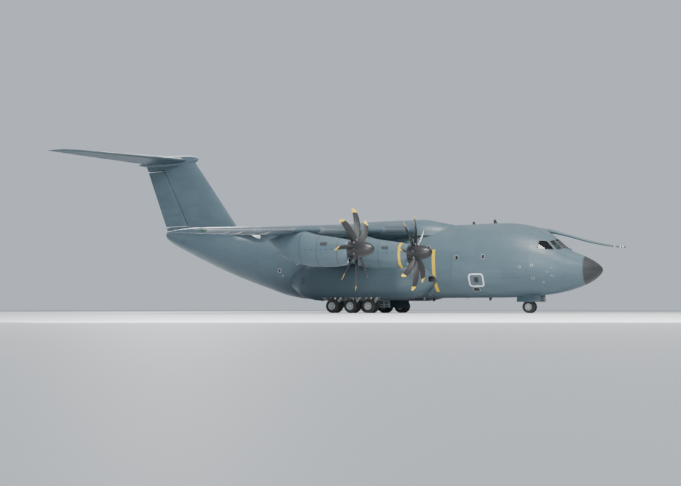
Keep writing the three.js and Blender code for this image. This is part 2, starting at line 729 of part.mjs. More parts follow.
function buildWing() {
  let wing = liftBody(WING, SEAM / 2, SPAN_HALF);
  FLAPS.forEach(({ from, to, endGap }) => {
    wing = wing.subtract(trailingBay(WING, from, to, FLAP_SHARE, endGap));
  });
  const { from, to, share } = AILERON;
  wing = wing.subtract(trailingBay(WING, from, to, share, 0.035));
  const spread = hingeSpread(WING, from, to, share);
  wing = wing.add(trailingLugs(WING, [16.9, 19.6], share, spread));

  const flaps = FLAPS.map((flap) => {
    let body = trailingBody(WING, flap.from, flap.to, FLAP_SHARE);
    const bay = trailingBay(WING, flap.from, flap.to, FLAP_SHARE, 0, true);
    flap.fairings.forEach((fairing) => {
      wing = wing.add(fairingFront(flap, fairing).subtract(bay));
      body = body.add(fairingRear(flap, fairing));
    });
    return [flap.name, body];
  });
  wing = largest(wing);
  const aileron = trailingBody(WING, from, to, share);
  [["left", (b) => b], ["right", mirrored]].forEach(([side, place]) => {
    add(`wing_${side}`, place(wing), UNDERSIDE);
    flaps.forEach(([name, body]) => add(`flap_${side}_${name}`, place(body), UNDERSIDE));
    add(`aileron_${side}`, place(aileron), UNDERSIDE);
  });
}

// Fairing over the wing's centre: station, half-width, crown height
const WING_FAIRING = [
  [10.6, 0.9, 6.72],
  [11.8, 1.9, 7.0],
  [13.4, 2.4, 7.3],
  [17.5, 2.45, 7.34],
  [21.0, 2.3, 7.12],
  [23.2, 1.7, 6.92],
  [24.6, 0.8, 6.74],
];
function buildWingFairing() {
  const base = 5.9;
  const ring = ([s, half, crown]) =>
    Array.from({ length: 15 }, (_, i) => {
      const angle = (Math.PI * i) / 14;
      const [c, n] = [Math.cos(angle), Math.sin(angle)];
      const y = Math.sign(c) * Math.abs(c) ** 0.7 * half;
      return [X(s), y, base + n ** 0.7 * (crown - base)];
    });
  const body = loft(WING_FAIRING.map(ring))
    .subtract(fuselageBody(FRONT_JOINT, 27, -SEAM))
    .subtract(wingCutter(SEAM));
  add("wing_fairing", largest(body), SKIN);
}

// Engines: nacelle with a chin intake, the engine as a block, and the propeller
// Nacelle rows: distance aft of the propeller's back plate, half-width, height above and below the hub
const NACELLE_COLUMNS = ["aft", "half", "up", "down"];
const NACELLE_TABLE = [
  [0.03, 0.6, 0.6, 0.92],
  [0.35, 0.72, 0.68, 1.02],
  [1.2, 0.88, 0.84, 1.1],
  [2.6, 0.92, 1.1, 1.05],
  [3.9, 0.86, 1.5, 0.84],
  [4.9, 0.7, 1.6, 0.4],
  [5.7, 0.46, 1.6, -0.25],
  [6.3, 0.16, 1.58, -0.8],
];
const NACELLE_SIDES = 20;
const ENGINE_BLOCK = { length: 3.0, half: 0.43, low: -0.45, high: 0.5, start: 0.75 };

function nacelleLoft({ y, hubZ, spinnerTip }) {
  const back = spinnerTip + SPINNER_LENGTH;
  return loft(
    NACELLE_TABLE.map(([aft, half, up, down]) => {
      const [middle, reach] = [hubZ + (up - down) / 2, (up + down) / 2];
      return Array.from({ length: NACELLE_SIDES }, (_, i) => {
        const angle = (i * 2 * Math.PI) / NACELLE_SIDES;
        const [c, n] = [Math.cos(angle), Math.sin(angle)];
        const power = 2 / 2.3;
        return [
          X(back + aft),
          y + Math.sign(c) * Math.abs(c) ** power * half,
          middle + Math.sign(n) * Math.abs(n) ** power * reach,
        ];
      });
    }),
  );
}

function buildEngine(engine) {
  const { name, y, hubZ, spinnerTip } = engine;
  const back = spinnerTip + SPINNER_LENGTH;
  const { length, half, low, high, start } = ENGINE_BLOCK;
  const front = back + start;
  const left = y > 0;
  const place = (body) => (left ? body : mirrored(body));
  const here = { ...engine, y: Math.abs(y) };
  const at = here.y;

  const bay = block([front - 0.3, front + length + 0.2], [at - half - SEAM, at + half + SEAM], [hubZ + low, hubZ + high + 0.15]);
  const intake = block([back - 0.1, front], [at - 0.34, at + 0.34], [hubZ - 0.84, hubZ - 0.6]);
  const duct = block([front - 0.3, front - 0.05], [at - 0.34, at + 0.34], [hubZ - 0.84, hubZ]);
  const exhaustFrom = [X(front + length), at, hubZ - 0.1];
  const exhaustTo = [X(front + length + 2.6), at, hubZ - 0.3];
  const exhaust = bar(exhaustFrom, exhaustTo, 0.3, 14);
  const shaftHole = bar([X(back - 0.2), at, hubZ], [X(front), at, hubZ], 0.17, 16);
  const nacelle = nacelleLoft(here)
    .subtract(liftBody(WING, WING.rows[1].span, WING.rows[3].span, SEAM))
    .subtract(bay)
    .subtract(intake)
    .subtract(duct)
    .subtract(exhaust)
    .subtract(shaftHole);
  add(`nacelle_${name}`, place(largest(nacelle)), UNDERSIDE);

  const engineBlock = block([front, front + length], [at - half, at + half], [hubZ + low + SEAM, hubZ + high]);
  const shaft = bar([X(back + PIN_GAP), at, hubZ], [X(front + 0.1), at, hubZ], 0.14, 16);
  add(`engine_${name}`, place(engineBlock.add(shaft)), STEEL);
}

// Blade rows: radius, chord, thickness, pitch from the disc in degrees, sweep back along the chord
const BLADE_TABLE = [
  [0.4, 0.26, 0.12, 68, 0.0],
  [0.8, 0.36, 0.085, 62, -0.05],
  [1.4, 0.44, 0.055, 53, -0.07],
  [2.0, 0.42, 0.04, 45, 0.0],
  [2.42, 0.32, 0.028, 40, 0.12],
  [PROPELLER_RADIUS, 0.12, 0.015, 38, 0.27],
];
const SPINNER_PROFILE = [ // distance aft of the tip, radius
  [0.0, 0.0],
  [0.06, 0.16],
  [0.22, 0.31],
  [0.5, 0.44],
  [0.9, 0.52],
  [1.3, 0.55],
  [SPINNER_LENGTH, SPINNER_RADIUS],
  [SPINNER_LENGTH, 0.0],
];
const BLADE_PLANE = 1.28; // aft of the spinner's tip

// Made about the hub's axis, with the disc's centre at the origin and the blades turned for one hand.
function propellerBody(hand) {
  const profile = SPINNER_PROFILE.map(([aft, r]) => new THREE.Vector2(r, BLADE_PLANE - aft));
  const spinner = solid(new THREE.LatheGeometry(profile, 20).rotateZ(-Math.PI / 2));
  const outline = [[0.5, 0], [0.22, 0.5], [-0.2, 0.42], [-0.5, 0], [-0.2, -0.42], [0.22, -0.5]];
  const rings = BLADE_TABLE.map(([radius, chord, thick, pitch, sweep]) => {
    const turn = THREE.MathUtils.degToRad(pitch);
    return outline.map(([along, across]) => {
      const [u, v] = [along * chord - sweep, across * thick];
      const x = u * Math.sin(turn) + v * Math.cos(turn);
      const y = (u * Math.cos(turn) - v * Math.sin(turn)) * hand;
      return [x, y, radius];
    });
  });
  const blade = geometryOf(loft(rings));
  const blades = Array.from({ length: BLADES }, (_, i) =>
    solid(blade.clone().rotateX((i * 2 * Math.PI) / BLADES)),
  );
  return join(spinner, ...blades);
}

function buildPropellers() {
  const bodies = { 1: propellerBody(1), [-1]: propellerBody(-1) };
  ENGINES.forEach(({ name, y, hubZ, spinnerTip, hand }) => {
    const mesh = add(`propeller_${name}`, bodies[hand], BLADE_BLACK);
    mesh.position.set(X(spinnerTip + BLADE_PLANE), y, hubZ);
  });
}

// Fin, rudder, tailplane and elevators
const RUDDER = { from: 8.0, to: 13.3, share: 0.68 };
const ELEVATOR = { from: 0.75, to: 8.2, share: 0.7 };
const BULLET = [ // station, radius
  [35.9, 0.04],
  [36.3, 0.27],
  [37.2, 0.43],
  [39.0, 0.52],
  [41.0, 0.42],
  [42.3, 0.22],
  [43.05, 0.05],
];
const BULLET_Z = 14.14;

function buildTail() {
  const bulletRing = ([s, r]) =>
    Array.from({ length: 16 }, (_, i) => {
      const angle = ((i + 0.5) * 2 * Math.PI) / 16;
      return [X(s), r * Math.cos(angle), BULLET_Z + r * Math.sin(angle)];
    });
  const bullet = loft(BULLET.map(bulletRing));
  let half = liftBody(TAILPLANE, 0, 9.58);
  const { from, to, share } = ELEVATOR;
  half = half.subtract(trailingBay(TAILPLANE, from, to, share, 0.09));
  half = half.add(trailingLugs(TAILPLANE, [2.2, 6.8], share, hingeSpread(TAILPLANE, from, to, share)));
  const plane = join(half, mirrored(half), bullet);
  add("tailplane", largest(plane), UNDERSIDE);
  const elevator = trailingBody(TAILPLANE, from, to, share);
  add("elevator_left", elevator, UNDERSIDE);
  add("elevator_right", mirrored(elevator), UNDERSIDE);

  const rudder = RUDDER;
  const grown = (grow) => {
    const fat = loft(BULLET.map(([s, r]) => bulletRing([s, r + grow])));
    const wide = liftBody(TAILPLANE, 0, 1.5, grow);
    return join(fat, wide, mirrored(wide));
  };
  let fin = liftBody(FIN, 6.5, 13.95)
    .subtract(trailingBay(FIN, rudder.from, rudder.to, rudder.share, 0.12))
    .subtract(fuselageBody(26, TAIL_CONE_END, -SEAM))
    .subtract(grown(SEAM));
  fin = fin.add(trailingLugs(FIN, [9.1, 12.4], rudder.share, hingeSpread(FIN, rudder.from, rudder.to, rudder.share)));
  add("fin", largest(fin), SKIN);
  add("rudder", trailingBody(FIN, rudder.from, rudder.to, rudder.share), SKIN);
}

// Landing gear. A wheel pair is one turned solid about its axle: distance from the middle, radius
const axleHeight = (radius) => radius * Math.cos(Math.PI / WHEEL_SIDES);

function wheelPair({ radius, tyreWidth, twin }) {
  const [near, far] = [twin / 2 - tyreWidth / 2, twin / 2 + tyreWidth / 2];
  const rim = radius * 0.5;
  const half = [
    [near, AXLE_RADIUS],
    [near, radius * 0.88],
    [near + tyreWidth * 0.16, radius],
    [far - tyreWidth * 0.16, radius],
    [far, radius * 0.88],
    [far, rim],
    [far - 0.07, rim * 0.9],
    [far - 0.05, AXLE_RADIUS * 1.3],
    [far + 0.01, AXLE_RADIUS * 1.1],
    [far + 0.01, 0],
  ];
  const profile = [...half.map(([y, r]) => [-y, r]).reverse(), ...half];
  const geometry = new THREE.LatheGeometry(
    profile.map(([y, r]) => new THREE.Vector2(r, y)),
    WHEEL_SIDES,
    Math.PI / WHEEL_SIDES,
  );
  return solid(geometry);
}

// The eye that an axle turns in, along Y.
const eyeBore = AXLE_RADIUS / Math.cos(Math.PI / AXLE_SIDES) + PIN_GAP * 1.2;
const eye = (s, y, z, width, radius) => bar([X(s), y - width, z], [X(s), y + width, z], radius, 16);
const bore = (s, y, z) => bar([X(s), y - 1, z], [X(s), y + 1, z], eyeBore, AXLE_SIDES);

function buildMainGear() {
  const { stations, y, radius } = MAIN_GEAR;
  const z = axleHeight(radius);
  const beamTop = MAIN_BAY.top - SEAM;
  let legs = block([stations[0] - 0.8, stations[2] + 0.35], [y - 0.1, y + 0.1], [beamTop - 0.22, beamTop]);
  stations.forEach((s) => {
    const pivot = { s: s - 0.62, z: 1.2 };
    const arm = sidePrism(
      [[pivot.s - 0.1, pivot.z], [pivot.s, pivot.z + 0.12], [s + 0.1, z + 0.16], [s + 0.12, z - 0.1], [s - 0.1, z - 0.12], [pivot.s, pivot.z - 0.12]],
      y - 0.075,
      y + 0.075,
    );
    const bracket = sidePrism(
      [[pivot.s - 0.16, beamTop - 0.1], [pivot.s + 0.18, beamTop - 0.1], [pivot.s + 0.1, pivot.z - 0.06], [pivot.s - 0.1, pivot.z - 0.06]],
      y - 0.09,
      y + 0.09,
    );
    const strut = join(
      bar([X(s - 0.12), y, z + 0.1], [X(s - 0.02), y, 1.35], 0.075, 12),
      bar([X(s - 0.03), y, 1.25], [X(s + 0.02), y, beamTop - 0.05], 0.115, 14),
    );
    legs = join(legs, arm, bracket, strut, eye(s, y, z, 0.09, 0.17)).subtract(bore(s, y, z));
  });
  const left = largest(legs);
  add("main_gear_legs_left", left, STEEL);
  add("main_gear_legs_right", mirrored(left), STEEL);

  const pair = wheelPair(MAIN_GEAR);
  [["left", 1], ["right", -1]].forEach(([side, sign]) =>
    stations.forEach((s, i) => {
      const mesh = add(`main_wheels_${side}_${i + 1}`, pair, RUBBER);
      mesh.position.set(X(s), sign * y, z);
    }),
  );
}

function buildNoseGear() {
  const { station: s, radius } = NOSE_GEAR;
  const z = axleHeight(radius);
  const top = NOSE_BAY.top - SEAM;
  const collar = 1.06;
  const leg = join(
    bar([X(s), 0, collar], [X(s), 0, top], 0.13, 16),
    block([s - 0.25, s + 0.25], [-NOSE_BAY.half + SEAM, NOSE_BAY.half - SEAM], [top - 0.16, top]),
    bar([X(s - 0.95), 0, top - 0.1], [X(s - 0.05), 0, collar + 0.22], 0.06, 10),
  );
  add("nose_gear_leg", leg, STEEL);
  const fork = join(
    bar([X(s), 0, z + 0.05], [X(s), 0, collar - PIN_GAP], 0.095, 16),
    bar([X(s), 0, collar - 0.14], [X(s), 0, collar - PIN_GAP], 0.15, 16),
    eye(s, 0, z, 0.09, 0.15),
    sidePrism([[s - 0.28, 0.72], [s - 0.16, collar - 0.12], [s, collar - 0.06], [s, collar - 0.14], [s - 0.2, 0.72], [s - 0.04, z + 0.12], [s, z + 0.04]], -0.03, 0.03),
  ).subtract(bore(s, 0, z));
  add("nose_gear_fork", largest(fork), STEEL);
  const wheels = add("nose_wheels", wheelPair(NOSE_GEAR), RUBBER);
  wheels.position.set(X(s), 0, z);
}

// Open doors of the gear bays: plates that hang from one edge and lean outwards
const DOORS = {
  nose: { s: [4.3, 6.05], top: [0.64, 1.6], bottom: [0.86, 0.82], thickness: 0.03 },
  main: { s: [15.75, 20.7], top: [1.98, 1.3], bottom: [1.82, 0.42], thickness: 0.04 },
};

function buildGearDoors() {
  const plate = ({ s, top, bottom, thickness }) => {
    const outline = [top, bottom, [bottom[0] - thickness, bottom[1]], [top[0] - thickness, top[1]]];
    return loft(s.map((at) => outline.map(([y, z]) => [X(at), y, z])));
  };
  const nose = largest(plate(DOORS.nose).subtract(fuselageBody(RADOME_JOINT, FRONT_JOINT, -SEAM)));
  add("nose_gear_door_left", nose, UNDERSIDE);
  add("nose_gear_door_right", mirrored(nose), UNDERSIDE);
  const main = plate(DOORS.main)
    .subtract(sponsonLoft(SEAM))
    .subtract(fuselageBody(FRONT_JOINT, 27, -SEAM));
  add("main_gear_door_left", largest(main), UNDERSIDE);
  add("main_gear_door_right", mirrored(largest(main)), UNDERSIDE);
}

buildNose();
buildFlightDeck();
buildProbe();
buildHold();
buildRear();
buildSponsons();
buildWing();
buildWingFairing();
ENGINES.forEach(buildEngine);
buildPropellers();
buildTail();
buildMainGear();
buildNoseGear();
buildGearDoors();

export default root;
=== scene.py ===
"""Looks of a half-size military transport aircraft, built round its packed construction model.

Points are written in metres of the full-size aircraft as station, side and height: a station is the
distance aft of the nose tip, side is positive to the left, and height is above the ground.
Solid.build and spots turn them into the frame's own metres.
"""

import logging
import math
from dataclasses import dataclass, field
from enum import Enum
from typing import Callable, Iterable, Sequence, Union

import bmesh
import bpy
import numpy as np
from mathutils import Matrix, Vector

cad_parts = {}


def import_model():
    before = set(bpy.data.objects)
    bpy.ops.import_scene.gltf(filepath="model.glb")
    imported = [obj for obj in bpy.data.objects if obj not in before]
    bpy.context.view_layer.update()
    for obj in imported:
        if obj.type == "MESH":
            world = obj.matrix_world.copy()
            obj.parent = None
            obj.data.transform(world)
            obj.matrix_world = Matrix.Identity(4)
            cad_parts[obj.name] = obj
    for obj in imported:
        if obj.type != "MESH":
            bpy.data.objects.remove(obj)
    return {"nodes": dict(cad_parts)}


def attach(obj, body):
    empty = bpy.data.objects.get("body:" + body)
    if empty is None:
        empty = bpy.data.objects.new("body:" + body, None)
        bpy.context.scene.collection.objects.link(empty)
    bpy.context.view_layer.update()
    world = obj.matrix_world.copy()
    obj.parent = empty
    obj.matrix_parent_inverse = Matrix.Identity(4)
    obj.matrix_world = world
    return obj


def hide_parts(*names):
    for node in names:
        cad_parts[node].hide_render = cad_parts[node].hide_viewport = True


LOG = logging.getLogger("transport_plane")

NOSE_X = 21.79  # station of the frame's origin
SCALE = 0.5
WALL = 0.15  # thickness of the hull
GAP = 0.012  # room round moving parts
AIRFRAME = "airframe"
SIDES = (("left", 1), ("right", -1))

Point = tuple[float, float, float]
Range = Sequence[float]
Colour = tuple[float, float, float]
Socket = bpy.types.NodeSocket
Object = bpy.types.Object
Skin = Callable[[float, float, float], tuple]
Outline = Sequence[Sequence[float]]


def spots(points: Iterable[Sequence[float]]) -> np.ndarray:
    """Turn rows of full-size station, side and height into the frame's x, y and z."""
    rows = np.array(points, float).reshape(-1, 3)
    return np.column_stack([NOSE_X - rows[:, 0], rows[:, 1], rows[:, 2]]) * SCALE


def lerp(a: float, b: float, t: float) -> float:
    """Blend from a to b."""
    return a + (b - a) * t


def tint(colour: Colour, factor: float, plus: float = 0.0) -> Colour:
    """Make a colour lighter or darker."""
    return tuple(min(1.0, c * factor + plus) for c in colour)


# ---- Shader building blocks ----


class Value:
    """A shader value. Its operators add Math nodes to the tree that it comes from."""

    def __init__(self, graph: "Graph", socket: Socket) -> None:
        """Keep the graph and the socket."""
        self.graph, self.socket = graph, socket

    def maths(self, operation: str, *others: object, clamp: bool = False) -> "Value":
        """Add a Math node that starts with this value."""
        return self.graph.maths(operation, self, *others, clamp=clamp)

    def __add__(self, other: object) -> "Value":
        """Add."""
        return self.maths("ADD", other)

    def __sub__(self, other: object) -> "Value":
        """Subtract."""
        return self.maths("SUBTRACT", other)

    def __rsub__(self, other: object) -> "Value":
        """Subtract from a number."""
        return self.graph.maths("SUBTRACT", other, self)

    def __mul__(self, other: object) -> "Value":
        """Multiply."""
        return self.maths("MULTIPLY", other)

    def __truediv__(self, other: object) -> "Value":
        """Divide."""
        return self.maths("DIVIDE", other)

    def __pow__(self, other: object) -> "Value":
        """Raise to a power."""
        return self.maths("POWER", other)


class Graph:
    """A thin layer over a node tree that makes nodes and links them in one call."""

    def __init__(self, tree: bpy.types.NodeTree) -> None:
        """Keep the tree that the calls add to."""
        self.tree = tree

    def node(self, kind: str, **settings: object) -> bpy.types.Node:
        """Add a node.

        Args:
            kind: the node's Blender type name.
            settings: its plain properties.

        Returns:
            The new node.
        """
        made = self.tree.nodes.new(kind)
        for name, value in settings.items():
            setattr(made, name, value)
        return made

    def feed(self, sockets: object, values: dict) -> None:
        """Link values into a node's inputs, or set plain numbers on them.

        Args:
            sockets: the node's inputs.
            values: what goes into each, by name or place.
        """
        for name, value in values.items():
            socket = sockets[name]
            if isinstance(value, Value):
                self.tree.links.new(value.socket, socket)
            elif socket.type == "RGBA":
                socket.default_value = (*value, 1.0)
            else:
                socket.default_value = value

    def made(self, kind: str, values: dict, output: Union[int, str] = 0, **settings: object) -> Value:
        """Add a node, fill its inputs and return one output.

        Args:
            kind: the node's Blender type name.
            values: what goes into its inputs.
            output: the output that is returned.
            settings: its plain properties.

        Returns:
            The output's value.
        """
        node = self.node(kind, **settings)
        self.feed(node.inputs, values)
        return Value(self, node.outputs[output])

    def maths(self, operation: str, *values: object, clamp: bool = False) -> Value:
        """Add a Math node and return its result."""
        return self.made("ShaderNodeMath", dict(enumerate(values)), operation=operation, use_clamp=clamp)

    def parts(self, vector: Value) -> list[Value]:
        """Split a vector into its three values."""
        split = self.made("ShaderNodeSeparateXYZ", {0: vector}).socket.node
        return [Value(self, socket) for socket in split.outputs]

    def vector(self, *values: object) -> Value:
        """Make a vector of three values."""
        return self.made("ShaderNodeCombineXYZ", dict(enumerate(values)))

    def step(self, value: Value, low: object, high: object) -> Value:
        """Rise smoothly from 0 to 1 while value goes from low to high."""
        ends = {"Value": value, "From Min": low, "From Max": high}
        return self.made("ShaderNodeMapRange", ends, interpolation_type="SMOOTHSTEP")

    def noise(self, vector: Value, scale: object, detail: float = 3.0, rough: float = 0.55) -> Value:
        """Add a Noise texture and return its value."""
        return self.made("ShaderNodeTexNoise", {"Vector": vector, "Scale": scale, "Detail": detail, "Roughness": rough})

    def mix(self, factor: object, first: object, second: object) -> Value:
        """Blend two colours by a factor."""
        return self.made("ShaderNodeMix", {0: factor, 6: first, 7: second}, 2, data_type="RGBA")

    def bump(self, height: Value, distance: float) -> Value:
        """Turn a height in the range 0 to 1 into a normal."""
        return self.made("ShaderNodeBump", {"Strength": 1.0, "Distance": distance, "Height": height})

    def group(self, effect: "Effect", **values: object) -> dict[str, Value]:
        """Place a shared effect and fill its inputs.

        Args:
            effect: which shared effect.
            values: its inputs, with spaces in their names written as underscores.

        Returns:
            Its outputs by name.
        """
        made = self.node("ShaderNodeGroup", node_tree=effect_tree(effect))
        self.feed(made.inputs, {name.replace("_", " "): value for name, value in values.items()})
        return {socket.name: Value(self, socket) for socket in made.outputs}


class Effect(Enum):
    """Effects that several materials share, each built once as a node group."""

    SEAMS = "panel_seams"
    WEATHER = "weathering"
    GRAIN = "fine_grain"
    WEAR = "edge_wear"
    DUST = "fallen_dust"
    WEAVE = "woven_cloth"


def _seams(graph: Graph, given: dict[str, Value]) -> dict[str, Value]:
    """Staggered panel joints with rivet rows beside them."""
    along, across, width, beat = (given[name] for name in ("Along", "Across", "Width", "Rivet Pitch"))
    row = along / given["Pitch Along"]
    shift = row.maths("FLOOR").maths("MODULO", 2.0) * 0.5
    column = across / given["Pitch Across"] + shift
    lines, rivets = [], []
    for cell, pitch, other in ((row, "Pitch Along", across), (column, "Pitch Across", along)):
        share = cell.maths("FRACT")
        away = share.maths("MINIMUM", 1.0 - share) * given[pitch]
        lines.append(1.0 - graph.step(away, 0.0, width))
        offset = ((other / beat).maths("FRACT") - 0.5) * beat
        aside = away - width * 4.0
        reach = (offset**2.0 + aside**2.0).maths("SQRT")
        head = width * 1.3
        rivets.append(1.0 - graph.step(reach, head * 0.6, head))
    cells = graph.vector(row.maths("FLOOR"), column.maths("FLOOR"), 0.0)
    return {
        "Line": graph.maths("MAXIMUM", *lines),
        "Rivet": graph.maths("MAXIMUM", *rivets),
        "Tone": graph.made("ShaderNodeTexWhiteNoise", {"Vector": cells}, "Value", noise_dimensions="3D"),
    }


def _weathering(graph: Graph, given: dict[str, Value]) -> dict[str, Value]:
    """Broad fading, streaks that run aft, and small stains."""
    place, scale = given["Vector"], given["Scale"]
    x, y, z = graph.parts(place)
    streak = graph.noise(graph.vector(x * 0.16, y, z), scale * 5.0, 5.0, 0.7)
    return {
        "Fade": graph.noise(place, scale * 0.45, 4.0, 0.6),
        "Streak": graph.step(streak, 0.48, 0.72),
        "Stain": graph.step(graph.noise(place, scale * 9.0, 3.0, 0.6), 0.6, 0.76),
    }


def _grain(graph: Graph, given: dict[str, Value]) -> dict[str, Value]:
    """Fine surface grain, as a height and as a change of gloss."""
    place, scale = given["Vector"], given["Scale"]
    return {"Height": graph.noise(place, scale, 6.0, 0.6), "Gloss": graph.noise(place, scale * 0.21, 4.0, 0.6)}


def _wear(graph: Graph, given: dict[str, Value]) -> dict[str, Value]:
    """Bare spots along outer edges."""
    edge = graph.made("ShaderNodeNewGeometry", {}, "Pointiness")
    ragged = graph.noise(given["Vector"], given["Scale"], 5.0, 0.7) * 0.05
    worn = graph.step(edge + (ragged - 0.025), 0.515, 0.56)
    return {"Mask": worn.maths("MULTIPLY", given["Amount"], clamp=True)}


def _dust(graph: Graph, given: dict[str, Value]) -> dict[str, Value]:
    """Dust that lies on faces turned upwards."""
    normal = graph.made("ShaderNodeNewGeometry", {}, "Normal")
    up = graph.step(graph.parts(normal)[2], 0.25, 1.0)
    patchy = graph.step(graph.noise(given["Vector"], given["Scale"], 5.0, 0.65), 0.35, 0.75)
    return {"Mask": (up * patchy).maths("MULTIPLY", given["Amount"], clamp=True)}


def _weave(graph: Graph, given: dict[str, Value]) -> dict[str, Value]:
    """Over and under threads of a plain weave."""
    x, y, z = graph.parts(given["Vector"])
    first, second = ((value * given["Threads"]).maths("SINE") for value in (x + z, y))
    return {"Height": first * second * 0.5 + 0.5}


EFFECTS = {  # how each effect is made, and its inputs
    Effect.SEAMS: (
        _seams,
        {"Along": 0.0, "Across": 0.0, "Pitch Along": 1.0, "Pitch Across": 1.0, "Width": 0.003, "Rivet Pitch": 0.05},
    ),
    Effect.WEATHER: (_weathering, {"Vector": None, "Scale": 1.0}),
    Effect.GRAIN: (_grain, {"Vector": None, "Scale": 40.0}),
    Effect.WEAR: (_wear, {"Vector": None, "Scale": 30.0, "Amount": 1.0}),
    Effect.DUST: (_dust, {"Vector": None, "Scale": 3.0, "Amount": 0.5}),
    Effect.WEAVE: (_weave, {"Vector": None, "Threads": 900.0}),
}


def effect_tree(effect: Effect) -> bpy.types.NodeTree:
    """Build a shared effect's node group, or return it if it is there.

    Args:
        effect: which shared effect.

    Returns:
        The node group.
    """
    tree = bpy.data.node_groups.get(effect.value)
    if tree:
        return tree
    recipe, inputs = EFFECTS[effect]
    tree = bpy.data.node_groups.new(effect.value, "ShaderNodeTree")
    for name, value in inputs.items():
        kind = "NodeSocketVector" if value is None else "NodeSocketFloat"
        socket = tree.interface.new_socket(name, in_out="INPUT", socket_type=kind)
        if value is not None:
            socket.default_value = value
    graph = Graph(tree)
    source = graph.node("NodeGroupInput").outputs
    results = recipe(graph, {name: Value(graph, source[name]) for name in inputs})
    for name in results:
        tree.interface.new_socket(name, in_out="OUTPUT", socket_type="NodeSocketFloat")
    graph.feed(graph.node("NodeGroupOutput").inputs, results)
    return tree


# ---- Finishes ----


class Wrap(Enum):
    """How panel joints are laid over a surface."""

    BARREL = "round the aircraft's length"
    FLAT = "over a wing"
    UPRIGHT = "over a fin"
    NONE = "no joints"


EVERYWHERE = (-99.0, 99.0)


@dataclass(frozen=True)
class Band:
    """A painted stripe: everything inside a box, in full-size metres."""

    colour: Colour
    station: tuple[float, float] = EVERYWHERE
    side: tuple[float, float] = EVERYWHERE
    height: tuple[float, float] = EVERYWHERE

    def mask(self, graph: Graph, place: Value) -> Value:
        """Return 1 inside the box and 0 outside it.

        Args:
            graph: the material's graph.
            place: the place on the surface.

        Returns:
            The mask.
        """
        soft = 0.004
        result: object = 1.0
        ends = (tuple(NOSE_X - s for s in reversed(self.station)), self.side, self.height)
        for value, given, (low, high) in zip(graph.parts(place), (self.station, self.side, self.height), ends):
            if given is not EVERYWHERE:
                middle, half = (low + high) / 2 * SCALE, (high - low) / 2 * SCALE
                away = (value - middle).maths("ABSOLUTE")
                result = (1.0 - graph.step(away, half - soft, half + soft)) * result
        return result


YELLOW: Colour = (0.71, 0.47, 0.02)
WHITE: Colour = (0.68, 0.7, 0.7)
# One grey-blue paint in two copies. The first below is lighter, painted light for the hull, fin and nacelles. The
# second is darker, painted shade for the wings, sponsons and gear doors.
LIT_GREY_BLUE: Colour = (0.078, 0.12, 0.145)
SHADED_GREY_BLUE: Colour = (0.054, 0.086, 0.106)
SOOT: Colour = (0.035, 0.038, 0.038)
OIL: Colour = (0.05, 0.046, 0.04)
SEAM_SHADOW: Colour = (0.02, 0.024, 0.028)
PALE_DUST: Colour = (0.36, 0.34, 0.3)
BROWN_DUST: Colour = (0.3, 0.28, 0.25)


@dataclass(frozen=True)
class Finish:
    """A surface finish. Subclasses say what goes into the shader."""

    name: str

    def material(self) -> bpy.types.Material:
        """Build the finish's material, or return it if it is there."""
        made = bpy.data.materials.get(self.name)
        if not made:
            made = bpy.data.materials.new(self.name)
            made.use_nodes = True
            graph = Graph(made.node_tree)
            place = graph.made("ShaderNodeTexCoord", {}, "Object")
            graph.feed(made.node_tree.nodes["Principled BSDF"].inputs, self.inputs(graph, place))
        return made

    def inputs(self, graph: Graph, place: Value) -> dict[str, object]:
        """Return what goes into the shader's inputs."""
        raise NotImplementedError


